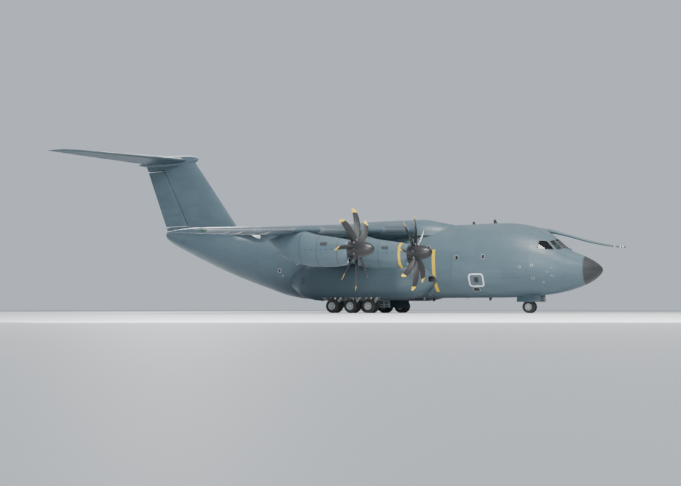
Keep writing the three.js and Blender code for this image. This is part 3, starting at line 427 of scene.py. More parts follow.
@dataclass(frozen=True)
class Paint(Finish):
    """Semi-matt paint over riveted panels, weathered along the airflow."""

    # Defaults to the lighter copy of the grey-blue, which carries painted light.
    colour: Colour = LIT_GREY_BLUE
    roughness: float = 0.4
    wrap: Wrap = Wrap.BARREL
    pitch: tuple[float, float] = (0.95, 0.62)
    bands: tuple[Band, ...] = ()
    grime: float = 0.5

    def _laid(self, graph: Graph, place: Value) -> tuple[Value, Value]:
        """Return the distances along and across the panels.

        Args:
            graph: the material's graph.
            place: the place on the surface.

        Returns:
            Both distances.
        """
        x, y, z = graph.parts(place)
        if self.wrap is Wrap.FLAT:
            return y, x + y.maths("ABSOLUTE") * 0.12
        if self.wrap is Wrap.UPRIGHT:
            return z, x + z * 0.45
        aft = (-1.1 - x).maths("MAXIMUM", 0.0)
        fore = (x - 7.1).maths("MAXIMUM", 0.0)
        middle = aft * 0.2 - fore * 0.115 + 3.97 * SCALE
        return x, (z - middle).maths("ARCTAN2", y) * 1.4

    def inputs(self, graph: Graph, place: Value) -> dict[str, object]:
        """Return paint colour, gloss and relief.

        Args:
            graph: the material's graph.
            place: the place on the surface.

        Returns:
            What goes into the shader.
        """
        weather = graph.group(Effect.WEATHER, Vector=place, Scale=1.0)
        grain = graph.group(Effect.GRAIN, Vector=place, Scale=160.0)
        dark, light = tint(self.colour, 0.78), tint(self.colour, 1.28)
        colour = graph.mix(weather["Fade"], dark, light)
        height = grain["Height"] * 0.03
        seams = None
        if self.wrap is not Wrap.NONE:
            along, across = self._laid(graph, place)
            pitches = {"Pitch_Along": self.pitch[0], "Pitch_Across": self.pitch[1]}
            seams = graph.group(Effect.SEAMS, Along=along, Across=across, **pitches, Width=0.0035, Rivet_Pitch=0.045)
            tone = ((seams["Tone"] - 0.5) * 0.55).maths("ADD", 0.5, clamp=True)
            colour = graph.mix(0.3, colour, graph.mix(tone, dark, light))
        for band in self.bands:
            colour = graph.mix(band.mask(graph, place), colour, band.colour)
        dirt = weather["Streak"] * (0.34 * self.grime)
        colour = graph.mix(dirt, colour, SOOT)
        colour = graph.mix(weather["Stain"] * (0.3 * self.grime), colour, OIL)
        if seams:
            colour = graph.mix(seams["Line"] * 0.62, colour, SEAM_SHADOW)
            height = height + (seams["Rivet"] * 0.25 - seams["Line"])
        dust = graph.group(Effect.DUST, Vector=place, Scale=1.6, Amount=0.12)
        matt = grain["Gloss"] * 0.16 + dirt * 0.5
        return {
            "Base Color": graph.mix(dust["Mask"], colour, PALE_DUST),
            "Roughness": matt.maths("ADD", self.roughness - 0.08, clamp=True),
            "Normal": graph.bump(height, 0.0022),
            "Specular IOR Level": 0.45,
        }


@dataclass(frozen=True)
class Metal(Finish):
    """Bare or plated metal with brushing, stains and bright edges."""

    colour: Colour = (0.5, 0.51, 0.52)
    roughness: float = 0.35
    tarnish: float = 0.35
    grain: float = 240.0

    def inputs(self, graph: Graph, place: Value) -> dict[str, object]:
        """Return the metal's colour, gloss and relief.

        Args:
            graph: the material's graph.
            place: the place on the surface.

        Returns:
            What goes into the shader.
        """
        weather = graph.group(Effect.WEATHER, Vector=place, Scale=3.0)
        grain = graph.group(Effect.GRAIN, Vector=place, Scale=self.grain)
        wear = graph.group(Effect.WEAR, Vector=place, Scale=40.0, Amount=0.6)
        colour = graph.mix(weather["Fade"], self.colour, tint(self.colour, 1 - self.tarnish))
        colour = graph.mix(weather["Stain"] * self.tarnish, colour, tint(self.colour, 0.3))
        return {
            "Base Color": graph.mix(wear["Mask"], colour, tint(self.colour, 1.6)),
            "Metallic": 1.0,
            "Roughness": (grain["Gloss"] * 0.25).maths("ADD", self.roughness - 0.1, clamp=True),
            "Normal": graph.bump(grain["Height"], 0.0006),
        }


@dataclass(frozen=True)
class Coating(Finish):
    """Even coating such as moulded plastic, rubber or primer."""

    colour: Colour = (0.03, 0.03, 0.032)
    roughness: float = 0.5
    grain: float = 200.0
    relief: float = 0.0006
    dust: float = 0.2
    clear: float = 0.0

    def inputs(self, graph: Graph, place: Value) -> dict[str, object]:
        """Return the coating's colour, gloss and relief.

        Args:
            graph: the material's graph.
            place: the place on the surface.

        Returns:
            What goes into the shader.
        """
        weather = graph.group(Effect.WEATHER, Vector=place, Scale=4.0)
        grain = graph.group(Effect.GRAIN, Vector=place, Scale=self.grain)
        dust = graph.group(Effect.DUST, Vector=place, Scale=6.0, Amount=self.dust)
        wear = graph.group(Effect.WEAR, Vector=place, Scale=50.0, Amount=0.3)
        colour = graph.mix(weather["Fade"], tint(self.colour, 0.75), tint(self.colour, 1.35, 0.004))
        colour = graph.mix(weather["Stain"] * 0.35, colour, tint(self.colour, 1.7, 0.02))
        colour = graph.mix(dust["Mask"], colour, BROWN_DUST)
        return {
            "Base Color": graph.mix(wear["Mask"], colour, tint(self.colour, 2.0, 0.08)),
            "Roughness": (grain["Gloss"] * 0.2).maths("ADD", self.roughness - 0.1, clamp=True),
            "Normal": graph.bump(grain["Height"], self.relief),
            "Coat Weight": self.clear,
        }


@dataclass(frozen=True)
class Glass(Finish):
    """Tinted pane with a faint film of dust."""

    colour: Colour = (0.3, 0.34, 0.36)
    roughness: float = 0.03
    transmission: float = 1.0
    glow: float = 0.0

    def inputs(self, graph: Graph, place: Value) -> dict[str, object]:
        """Return the pane's tint, film and glow.

        Args:
            graph: the material's graph.
            place: the place on the surface.

        Returns:
            What goes into the shader.
        """
        veil = graph.group(Effect.WEATHER, Vector=place, Scale=5.0)["Streak"] * 0.06
        filled = {
            "Base Color": graph.mix(veil, self.colour, (0.6, 0.6, 0.58)),
            "Roughness": veil + self.roughness,
            "Transmission Weight": self.transmission,
            "IOR": 1.47,
        }
        if self.glow:
            filled.update({"Emission Color": self.colour, "Emission Strength": self.glow})
        return filled


@dataclass(frozen=True)
class Cloth(Finish):
    """Woven seat cover."""

    colour: Colour = (0.035, 0.045, 0.05)
    threads: float = 1400.0

    def inputs(self, graph: Graph, place: Value) -> dict[str, object]:
        """Return the weave's colour and relief.

        Args:
            graph: the material's graph.
            place: the place on the surface.

        Returns:
            What goes into the shader.
        """
        height = graph.group(Effect.WEAVE, Vector=place, Threads=self.threads)["Height"]
        worn = graph.group(Effect.WEATHER, Vector=place, Scale=8.0)["Fade"] * 0.3
        colour = graph.mix(height, self.colour, tint(self.colour, 1.8))
        return {
            "Base Color": graph.mix(worn, colour, tint(self.colour, 2.4)),
            "Roughness": 0.9,
            "Sheen Weight": 0.4,
            "Normal": graph.bump(height, 0.0008),
        }


@dataclass(frozen=True)
class Ground(Finish):
    """Plain pale floor with a barely uneven gloss."""

    colour: Colour = (0.66, 0.67, 0.68)
    roughness: float = 0.62

    def inputs(self, graph: Graph, place: Value) -> dict[str, object]:
        """Return the floor's colour and gloss."""
        cloud = graph.noise(place, 0.35, 3.0, 0.5)
        return {
            "Base Color": graph.mix(cloud, self.colour, tint(self.colour, 1.03)),
            "Roughness": cloud * 0.06 + self.roughness,
            "Normal": graph.bump(graph.noise(place, 60.0, 4.0, 0.6), 0.0004),
        }


YELLOW_RING = Band(YELLOW, station=(11.66, 11.9), height=(1.6, 4.75))
WARNING_LINES = (
    Band(YELLOW, station=(6.2, 11.55), side=(-0.065, 0.065), height=(-1.0, 1.6)),
    Band(YELLOW, station=(24.6, 27.6), side=(-0.06, 0.06), height=(-1.0, 2.6)),
)
HULL_PAINT = Paint("hull_paint", bands=(YELLOW_RING, *WARNING_LINES))
PLAIN_PAINT = Paint("plain_paint", wrap=Wrap.NONE)
# The paints below for the wings and tailplane, the sponsons and the gear doors use darker copies of the grey-blue:
# painted shade. The first, for panels under the wing, is a little lighter than the rest. The tail paint for the fin
# keeps the lighter copy.
SHADED_WING_PLAIN = Paint("shaded_wing_plain_paint", colour=(0.06, 0.094, 0.115), wrap=Wrap.NONE)
WING_PAINT = Paint("shaded_wing_paint", colour=SHADED_GREY_BLUE, wrap=Wrap.FLAT, pitch=(0.8, 0.55))
TAIL_PAINT = Paint("tail_paint", wrap=Wrap.UPRIGHT, pitch=(0.7, 0.6))
SPONSON_PAINT = Paint("shaded_sponson_paint", colour=SHADED_GREY_BLUE)
DOOR_PAINT = Paint("shaded_door_paint", colour=SHADED_GREY_BLUE, wrap=Wrap.UPRIGHT)
LINING = Coating("cabin_lining", colour=(0.3, 0.32, 0.32), roughness=0.6, relief=0.0012, grain=90.0)
PRIMER = Coating("bay_primer", colour=(0.38, 0.4, 0.38), roughness=0.55, dust=0.3)
SHADE = Coating("surface_bay_coat", colour=(0.07, 0.085, 0.095), roughness=0.6, dust=0.1)
RADOME_COAT = Coating("radome_coat", colour=(0.022, 0.024, 0.027), roughness=0.46, dust=0.1)
SEAL = Coating("rubber_seal", colour=(0.018, 0.018, 0.018), roughness=0.6)
BLADE_COAT = Coating("blade_coat", colour=(0.013, 0.0135, 0.015), roughness=0.4, clear=0.1, dust=0.05)
TIP_YELLOW = Coating("tip_yellow", colour=YELLOW, roughness=0.4, dust=0.05)
WHITE_PAINT = Coating("white_marking", colour=WHITE, roughness=0.45, dust=0.1)
TYRE_RUBBER = Coating("tyre_rubber", colour=(0.022, 0.021, 0.02), roughness=0.78, relief=0.0016, dust=0.5)
LEG_PAINT = Coating("leg_paint", colour=(0.3, 0.315, 0.315), roughness=0.36, dust=0.3)
BLACK_PLASTIC = Coating("black_plastic", colour=(0.02, 0.02, 0.021), dust=0.3)
SEAT_CLOTH = Cloth("seat_cloth")
SCREEN_GLASS = Glass("windscreen_glass")
LAMP_GLASS = Glass("lamp_glass", colour=(0.85, 0.87, 0.86))
DARK_GLASS = Glass("cabin_window_glass", colour=(0.05, 0.06, 0.065), roughness=0.06, transmission=0.6)
DISPLAY_GLASS = Glass("display_glass", colour=(0.03, 0.06, 0.07), roughness=0.12, transmission=0.0, glow=0.4)
RED_GLASS = Glass("red_lamp", colour=(0.5, 0.02, 0.01), glow=0.06)
GREEN_GLASS = Glass("green_lamp", colour=(0.01, 0.4, 0.12), glow=0.1)
BARE_METAL = Metal("bare_metal", roughness=0.38)
BRIGHT_METAL = Metal("bright_metal", colour=(0.72, 0.73, 0.74), roughness=0.16, tarnish=0.1)
EXHAUST_METAL = Metal("exhaust_metal", colour=(0.27, 0.25, 0.225), roughness=0.42)
SOOTY_METAL = Metal("sooty_metal", colour=(0.12, 0.1, 0.085), roughness=0.5, tarnish=0.6)
EDGE_METAL = Metal("leading_edge_metal", colour=(0.2, 0.235, 0.26), roughness=0.46, tarnish=0.2)


# ---- Mesh building blocks ----


@dataclass
class Solid:
    """Points and faces in full-size metres, before they become a Blender object."""

    points: list[Point] = field(default_factory=list)
    faces: list[tuple[int, ...]] = field(default_factory=list)

    def add(self, points: Iterable[Sequence[float]], faces: Iterable[Sequence[int]]) -> "Solid":
        """Append points and the faces that use them.

        Args:
            points: rows of station, side and height.
            faces: the places of each face's points among them.

        Returns:
            The solid itself.
        """
        start = len(self.points)
        self.points.extend(tuple(map(float, p)) for p in points)
        self.faces.extend(tuple(start + i for i in face) for face in faces)
        return self

    def join(self, solids: Iterable["Solid"]) -> "Solid":
        """Append other solids."""
        for solid in solids:
            self.add(solid.points, solid.faces)
        return self

    def loft(self, rings: Sequence[Sequence], hoop: bool = False) -> "Solid":
        """Append a skin through rings of equally many points.

        Args:
            rings: the rings in order.
            hoop: whether the last ring joins the first. Otherwise both ends are filled.

        Returns:
            The solid itself.
        """
        count, size = len(rings), len(rings[0])
        faces: list[tuple[int, ...]] = []
        for k in range(count if hoop else count - 1):
            a, b = k * size, (k + 1) % count * size
            faces += [(a + i, a + (i + 1) % size, b + (i + 1) % size, b + i) for i in range(size)]
        if not hoop:
            faces += [tuple(reversed(range(size))), tuple((count - 1) * size + i for i in range(size))]
        return self.add([p for ring in rings for p in ring], faces)

    def prism(self, outline: Outline, axis: int, *ends: float) -> "Solid":
        """Append an outline drawn along an axis.

        Args:
            outline: rows of the other two coordinates, in their usual order.
            axis: 0 for station, 1 for side and 2 for height.
            ends: where the prism starts and ends on that axis.

        Returns:
            The solid itself.
        """
        return self.loft([np.insert(np.array(outline, float), axis, end, axis=1) for end in sorted(ends)])

    def box(self, station: Range, side: Range, height: Range) -> "Solid":
        """Append a box given by its three ranges."""
        return self.prism(rectangle(sorted(side), height), 0, *station)

    def tube(self, start: Point, end: Point, radius: Union[float, Range], sides: int = 24) -> "Solid":
        """Append a round bar between two points.

        Args:
            start: the middle of the first end.
            end: the middle of the other end.
            radius: one radius, or one for each end.
            sides: how many sides the bar has.

        Returns:
            The solid itself.
        """
        ends = Vector(start), Vector(end)
        along = (ends[1] - ends[0]).normalized()
        first = along.orthogonal().normalized()
        second = along.cross(first)
        angles = [2 * math.pi * i / sides for i in range(sides)]
        rings = []
        for middle, r in zip(ends, np.broadcast_to(radius, 2).tolist()):
            rings.append([middle + (first * math.cos(t) + second * math.sin(t)) * r for t in angles])
        return self.loft(rings)

    def pin(self, middle: Point, half: float, radius: float, sides: int = 24) -> "Solid":
        """Append a round bar that lies sideways."""
        s, y, z = middle
        return self.tube((s, y - half, z), (s, y + half, z), radius, sides)

    def turned(self, middle: Point, profile: Outline, sides: int) -> "Solid":
        """Append a solid of revolution about a line along the side axis.

        Args:
            middle: a point on the axis.
            profile: rows of offset along the axis and radius; a closed outline away from the axis.
            sides: how many steps round the axis.

        Returns:
            The solid itself.
        """
        s, y, z = middle
        rings = []
        for i in range(sides):
            angle = 2 * math.pi * i / sides
            rings.append([(s + r * math.cos(angle), y + offset, z + r * math.sin(angle)) for offset, r in profile])
        return self.loft(rings, hoop=True)

    def mirrored(self) -> "Solid":
        """Return a copy on the other side of the aircraft."""
        return Solid([(s, -y, z) for s, y, z in self.points], [tuple(reversed(f)) for f in self.faces])

    def on(self, side: int) -> "Solid":
        """Return the solid for the left, or its mirror image for the right."""
        return self if side > 0 else self.mirrored()

    def build(self, name: str, *finishes: Finish, sharp: float = 32.0) -> Object:
        """Make the Blender object.

        Args:
            name: the object's name.
            finishes: what its material slots hold, in order.
            sharp: edges that turn by more degrees than this stay sharp.

        Returns:
            The new object, its faces turned outwards.
        """
        mesh = bpy.data.meshes.new(name)
        mesh.from_pydata(spots(self.points).tolist(), [], self.faces)
        work = bmesh.new()
        work.from_mesh(mesh)
        bmesh.ops.recalc_face_normals(work, faces=work.faces)
        work.to_mesh(mesh)
        work.free()
        made = bpy.data.objects.new(name, mesh)
        bpy.context.scene.collection.objects.link(made)
        for finish in finishes:
            mesh.materials.append(finish.material())
        soften(made, sharp)
        return made

    def put(self, name: str, finish: Finish, node: str, body: str = AIRFRAME) -> Object:
        """Make the Blender object and let it ride on a moving body."""
        return place(self.build(name, finish), node, body, stands=False)


def soften(obj: Object, sharp: float = 32.0) -> None:
    """Shade an object smooth, apart from edges that turn by more than an angle in degrees."""
    obj.data.shade_smooth()
    obj.data.set_sharp_from_angle(angle=math.radians(sharp))


def fixed(obj: Object) -> Object:
    """Apply an object's modifiers.

    Args:
        obj: the object.

    Returns:
        The object.
    """
    graph = bpy.context.evaluated_depsgraph_get()
    mesh = bpy.data.meshes.new_from_object(obj.evaluated_get(graph))
    old = obj.data
    obj.modifiers.clear()
    obj.data = mesh
    mesh.name = obj.name
    bpy.data.meshes.remove(old)
    return obj


def shaped(base: Object, tools: Sequence[Object], operation: str = "DIFFERENCE") -> Object:
    """Cut or intersect an object with others. New faces take the other object's material.

    Args:
        base: the object that is changed.
        tools: the closed objects that it is cut with.
        operation: DIFFERENCE, INTERSECT or UNION.

    Returns:
        The base object.
    """
    for tool in tools:
        step = base.modifiers.new("shape", "BOOLEAN")
        step.operation = operation
        step.solver = "EXACT"
        step.material_mode = "TRANSFER"
        step.object = tool
    fixed(base)
    for tool in tools:
        discard(tool)
    soften(base)
    return base


def cut(base: Object, finish: Finish, *solids: Solid) -> Object:
    """Take solids off an object and give the new faces a finish."""
    return shaped(base, [solid.build("cut", finish) for solid in solids])


def kept(base: Object, finish: Finish, solid: Solid) -> Object:
    """Keep only what lies inside a solid and give the new faces a finish."""
    return shaped(base, [solid.build("tool", finish)], "INTERSECT")


def discard(obj: Object) -> None:
    """Remove a helper object and its mesh."""
    mesh = obj.data
    bpy.data.objects.remove(obj)
    bpy.data.meshes.remove(mesh)


def rounded(obj: Object, width: float) -> Object:
    """Round an object's sharp edges.

    Args:
        obj: the object.
        width: the rounding's width in full-size metres.

    Returns:
        The object.
    """
    bevel = obj.modifiers.new("round", "BEVEL")
    bevel.width = width * SCALE
    bevel.segments = 2
    bevel.limit_method = "ANGLE"
    bevel.angle_limit = math.radians(40.0)
    bevel.harden_normals = False
    fixed(obj)
    soften(obj)
    return obj


def joined(name: str, objects: Sequence[Object]) -> Object:
    """Join objects into one, keeping their materials.

    Args:
        name: the joined object's name.
        objects: the objects to join.

    Returns:
        The joined object.
    """
    first = objects[0]
    with bpy.context.temp_override(active_object=first, object=first, selected_editable_objects=list(objects)):
        bpy.ops.object.join()
    first.name = name
    first.data.name = name
    return first


def place(obj: Object, node: str, body: str = AIRFRAME, stands: bool = True) -> Object:
    """Make an object ride on a body, and hide the construction node if the object stands for it.

    Args:
        obj: the piece.
        node: the construction node that it belongs to.
        body: the moving body that carries it.
        stands: whether it stands for the node.

    Returns:
        The piece.
    """
    if stands:
        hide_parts(node)
    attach(obj, body)
    LOG.info("%s rides on %s with %d faces", obj.name, body, len(obj.data.polygons))
    return obj


def coat(obj: Object, finish: Finish) -> None:
    """Give a construction node that stays in view its material."""
    obj.data.materials.clear()
    obj.data.materials.append(finish.material())


# ---- Outlines and curves ----


def about(middle: float, half: float) -> Range:
    """The range that reaches as far to either side of its middle."""
    return (middle - half, middle + half)


def wider(ends: Range, by: float) -> Range:
    """A range with both ends moved out."""
    return (ends[0] - by, ends[1] + by)


def rectangle(first: Range, second: Range) -> list[tuple[float, float]]:
    """A plain rectangle over two ranges."""
    (a, b), (c, d) = first, second
    return [(a, c), (b, c), (b, d), (a, d)]


def square(first: Range, second: Range, radius: float) -> np.ndarray:
    """A rounded rectangle over two ranges."""
    return corners(rectangle(first, second), radius)


def corners(outline: Outline, radius: float) -> np.ndarray:
    """Round the corners of a flat outline.

    Args:
        outline: rows of two coordinates.
        radius: how far from a corner the rounding starts.

    Returns:
        The rounded outline.
    """
    rows = np.array(outline, float)
    made = []
    for before, here, after in zip(np.roll(rows, 1, 0), rows, np.roll(rows, -1, 0)):
        start, end = (here + (p - here) / np.linalg.norm(p - here) * radius for p in (before, after))
        for t in np.linspace(0, 1, 5):
            made.append((1 - t) ** 2 * start + 2 * t * (1 - t) * here + t**2 * end)
    return np.array(made)


def grown(outline: np.ndarray, by: float) -> np.ndarray:
    """Move an outline outwards from its middle by about a distance."""
    away = outline - outline.mean(0)
    return outline + away / np.linalg.norm(away, axis=1, keepdims=True) * by


def resampled(outline: np.ndarray, step: float = 0.07) -> np.ndarray:
    """Add points to a closed outline so that none of its sides is longer than a step.

    Args:
        outline: rows of two coordinates.
        step: the longest side.

    Returns:
        The outline with its new points.
    """
    made = []
    for here, after in zip(outline, np.roll(outline, -1, 0)):
        count = max(1, int(math.ceil(np.linalg.norm(after - here) / step)))
        made += [here + (after - here) * k / count for k in range(count)]
    return np.array(made)


def section(station: float, side: np.ndarray, height: np.ndarray) -> np.ndarray:
    """A ring of points at one station."""
    return np.column_stack([np.full(len(side), station), side, height])


def bulge(value: np.ndarray, square: float) -> np.ndarray:
    """Square off a circle's coordinates."""
    return np.sign(value) * np.abs(value) ** (2 / square)


def circle(sides: int) -> tuple[np.ndarray, np.ndarray]:
    """The cosines and sines of equal steps round a circle."""
    angle = (np.arange(sides) + 0.5) * 2 * math.pi / sides
    return np.cos(angle), np.sin(angle)


def oval(share: float, power: float) -> float:
    """How wide a squared-off oval is at a share of its height."""
    return (1 - min(1.0, abs(share)) ** power) ** (1 / power)


class Profile:
    """Rows of numbers along one variable, joined by smooth curves that never overshoot."""

    def __init__(self, rows: Outline, root: bool = False) -> None:
        """Work out the curves' slopes.

        Args:
            rows: the variable in the first column, then the values.
            root: whether the variable's square root is used, for a blunt start.
        """
        table = np.array(rows, float)
        self.root = root
        self.places = np.sqrt(table[:, 0]) if root else table[:, 0]
        self.values = table[:, 1:]
        rise = np.diff(self.values, axis=0) / np.diff(self.places)[:, None]
        before, after = rise[:-1], rise[1:]
        same = before * after > 0
        middle = np.where(same, 2 * before * after / np.where(same, before + after, 1.0), 0.0)
        self.slopes = np.vstack([rise[:1], middle, rise[-1:]])

    def __call__(self, where: float) -> np.ndarray:
        """Work out the values at a place along the rows.

        Args:
            where: the place.

        Returns:
            The values there.
        """
        x = math.sqrt(max(0.0, where)) if self.root else where
        x = min(max(x, self.places[0]), self.places[-1])
        k = min(int(np.searchsorted(self.places, x, side="right")) - 1, len(self.places) - 2)
        width = self.places[k + 1] - self.places[k]
        t = (x - self.places[k]) / width
        ends = self.values[k] * (2 * t**3 - 3 * t**2 + 1) + self.values[k + 1] * (-2 * t**3 + 3 * t**2)
        return ends + (self.slopes[k] * (t**3 - 2 * t**2 + t) + self.slopes[k + 1] * (t**3 - t**2)) * width


def plate_on(skin: Skin, first: Range, second: Range, lift: float = 0.004, steps: int = 12) -> Solid:
    """A thin plate that lies on a curved surface.

    Args:
        skin: gives the point at two coordinates and a distance above the surface.
        first: the plate's range in the first coordinate.
        second: its range in the other.
        lift: how far the plate stands proud.
        steps: how finely it follows the curve.

    Returns:
        The plate.
    """
    rings = []
    for p in np.linspace(*first, steps + 1):
        row = np.linspace(*second, steps + 1)
        rings.append([skin(p, q, lift) for q in row] + [skin(p, q, -0.02) for q in row[::-1]])
    return Solid().loft(rings)


def line_on(skin: Skin, first: Range, second: Range, radius: float, width: float, lift: float = 0.003) -> Solid:
    """A narrow line round a rounded rectangle on a curved surface.

    Args:
        skin: gives the point at two coordinates and a distance above the surface.
        first: the rectangle's range in the first coordinate.
        second: its range in the other.
        radius: how far its corners are rounded.
        width: how wide the line is.
        lift: how far it stands proud.

    Returns:
        The line.
    """
    middle = resampled(square(first, second, radius))
    inner, outer = grown(middle, -width / 2), grown(middle, width / 2)
    rings = []
    for edge, up in ((inner, -0.02), (inner, lift), (outer, lift), (outer, -0.02)):
        rings.append([skin(p, q, up) for p, q in edge])
    return Solid().loft(rings, hoop=True)


# ---- The hull ----

HULL = Profile(
    (  # station, top, bottom, half-width, height of the widest line, squareness below it
        (0.0, 3.115, 3.085, 0.015, 3.1, 2.0),
        (0.22, 3.46, 2.68, 0.46, 3.08, 2.0),
        (0.6, 3.76, 2.36, 0.86, 3.08, 2.0),
        (1.2, 4.1, 2.03, 1.27, 3.1, 2.0),
        (2.1, 4.52, 1.7, 1.77, 3.2, 2.0),
        (3.0, 5.3, 1.48, 2.16, 3.42, 2.05),
        (3.8, 5.98, 1.35, 2.44, 3.6, 2.1),
        (4.9, 6.44, 1.24, 2.68, 3.8, 2.2),
        (6.2, 6.7, 1.17, 2.8, 3.92, 2.3),
        (7.6, 6.79, 1.15, 2.82, 3.97, 2.4),
        (24.0, 6.79, 1.15, 2.82, 3.97, 2.4),
        (25.6, 6.79, 1.4, 2.82, 4.15, 2.4),
        (27.5, 6.82, 2.0, 2.79, 4.5, 2.5),
        (30.0, 6.93, 2.82, 2.62, 5.0, 2.5),
        (32.5, 7.05, 3.75, 2.3, 5.5, 2.4),
        (34.5, 7.18, 4.57, 1.87, 5.93, 2.3),
        (36.2, 7.3, 5.3, 1.45, 6.33, 2.2),
        (37.9, 7.45, 6.05, 0.95, 6.75, 2.1),
        (39.0, 7.55, 6.65, 0.55, 7.12, 2.0),
        (39.35, 7.55, 6.95, 0.28, 7.25, 2.0),
    ),
    root=True,
)


def hull_ring(station: float, inset: float = 0.0, sides: int = 112) -> np.ndarray:
    """One section of the hull.

    Args:
        station: where it is.
        inset: how far it is taken in.
        sides: how many points it has.

    Returns:
        The section's points.
    """
    top, bottom, half, wide, power = HULL(station)
    c, n = circle(sides)
    side = np.where(n > 0, c, bulge(c, power)) * (half - inset)
    up = n * (top - wide - inset)
    down = bulge(n, power) * (wide - bottom - inset)
    return section(station, side, wide + np.where(n > 0, up, down))


def hull(start: float, end: float, inset: float = 0.0, step: float = 0.2) -> Solid:
    """The hull between two stations as a solid, taken in by an inset."""
    count = max(2, int(round((end - start) / step)) + 1)
    return Solid().loft([hull_ring(s, inset) for s in np.linspace(start, end, count)])


def keel(station: float) -> float:
    """Height of the hull's lowest line."""
    return float(HULL(station)[1])


def hull_side(station: float, height: float) -> float:
    """Half the hull's width at a height."""
    top, bottom, half, wide, power = HULL(station)
    if height > wide:
        return float(half * oval((height - wide) / (top - wide), 2.0))
    return float(half * oval((height - wide) / (wide - bottom), power))


def flank(side: int) -> Skin:
    """The hull's left or right side as a surface over station and height."""
    return lambda s, z, lift: (s, side * (hull_side(s, z) + lift), z)


def belly(s: float, y: float, lift: float) -> Point:
    """The hull's underside as a surface over station and side."""
    _, bottom, half, wide, power = HULL(s)
    return (s, y, float(wide - (wide - bottom) * oval(y / half, power)) - lift)


@dataclass(frozen=True)
class Opening:
    """A window on the left side: an outline drawn along an axis between two ends."""

    outline: Outline
    axis: int
    ends: Range

    def prisms(self, *edges: float) -> list[Solid]:
        """Prisms through the window and its mirror image.

        Args:
            edges: how much the outline is grown; two of them make a frame between both.

        Returns:
            The left and the right prism.
        """
        low, high = self.ends
        shapes = [grown(corners(self.outline, 0.09), edge) for edge in edges]
        if len(shapes) > 1:
            inner, outer = shapes
            rows = ((inner, low), (outer, low), (outer, high), (inner, high))
            prism = Solid().loft([np.insert(edge, self.axis, level, axis=1) for edge, level in rows], hoop=True)
        else:
            prism = Solid().prism(shapes[0], self.axis, low, high)
        return [prism, prism.mirrored()]


WINDOWS = (
    Opening(((0.07, 4.72), (0.98, 4.66), (0.9, 5.28), (0.07, 5.42)), 0, (1.6, 4.2)),
    Opening(((1.1, 4.63), (1.62, 4.53), (1.5, 5.15), (1.02, 5.26)), 0, (1.6, 4.2)),
    Opening(((3.02, 4.53), (4.1, 4.55), (4.04, 5.18), (3.56, 5.16)), 1, (1.0, 2.75)),
)


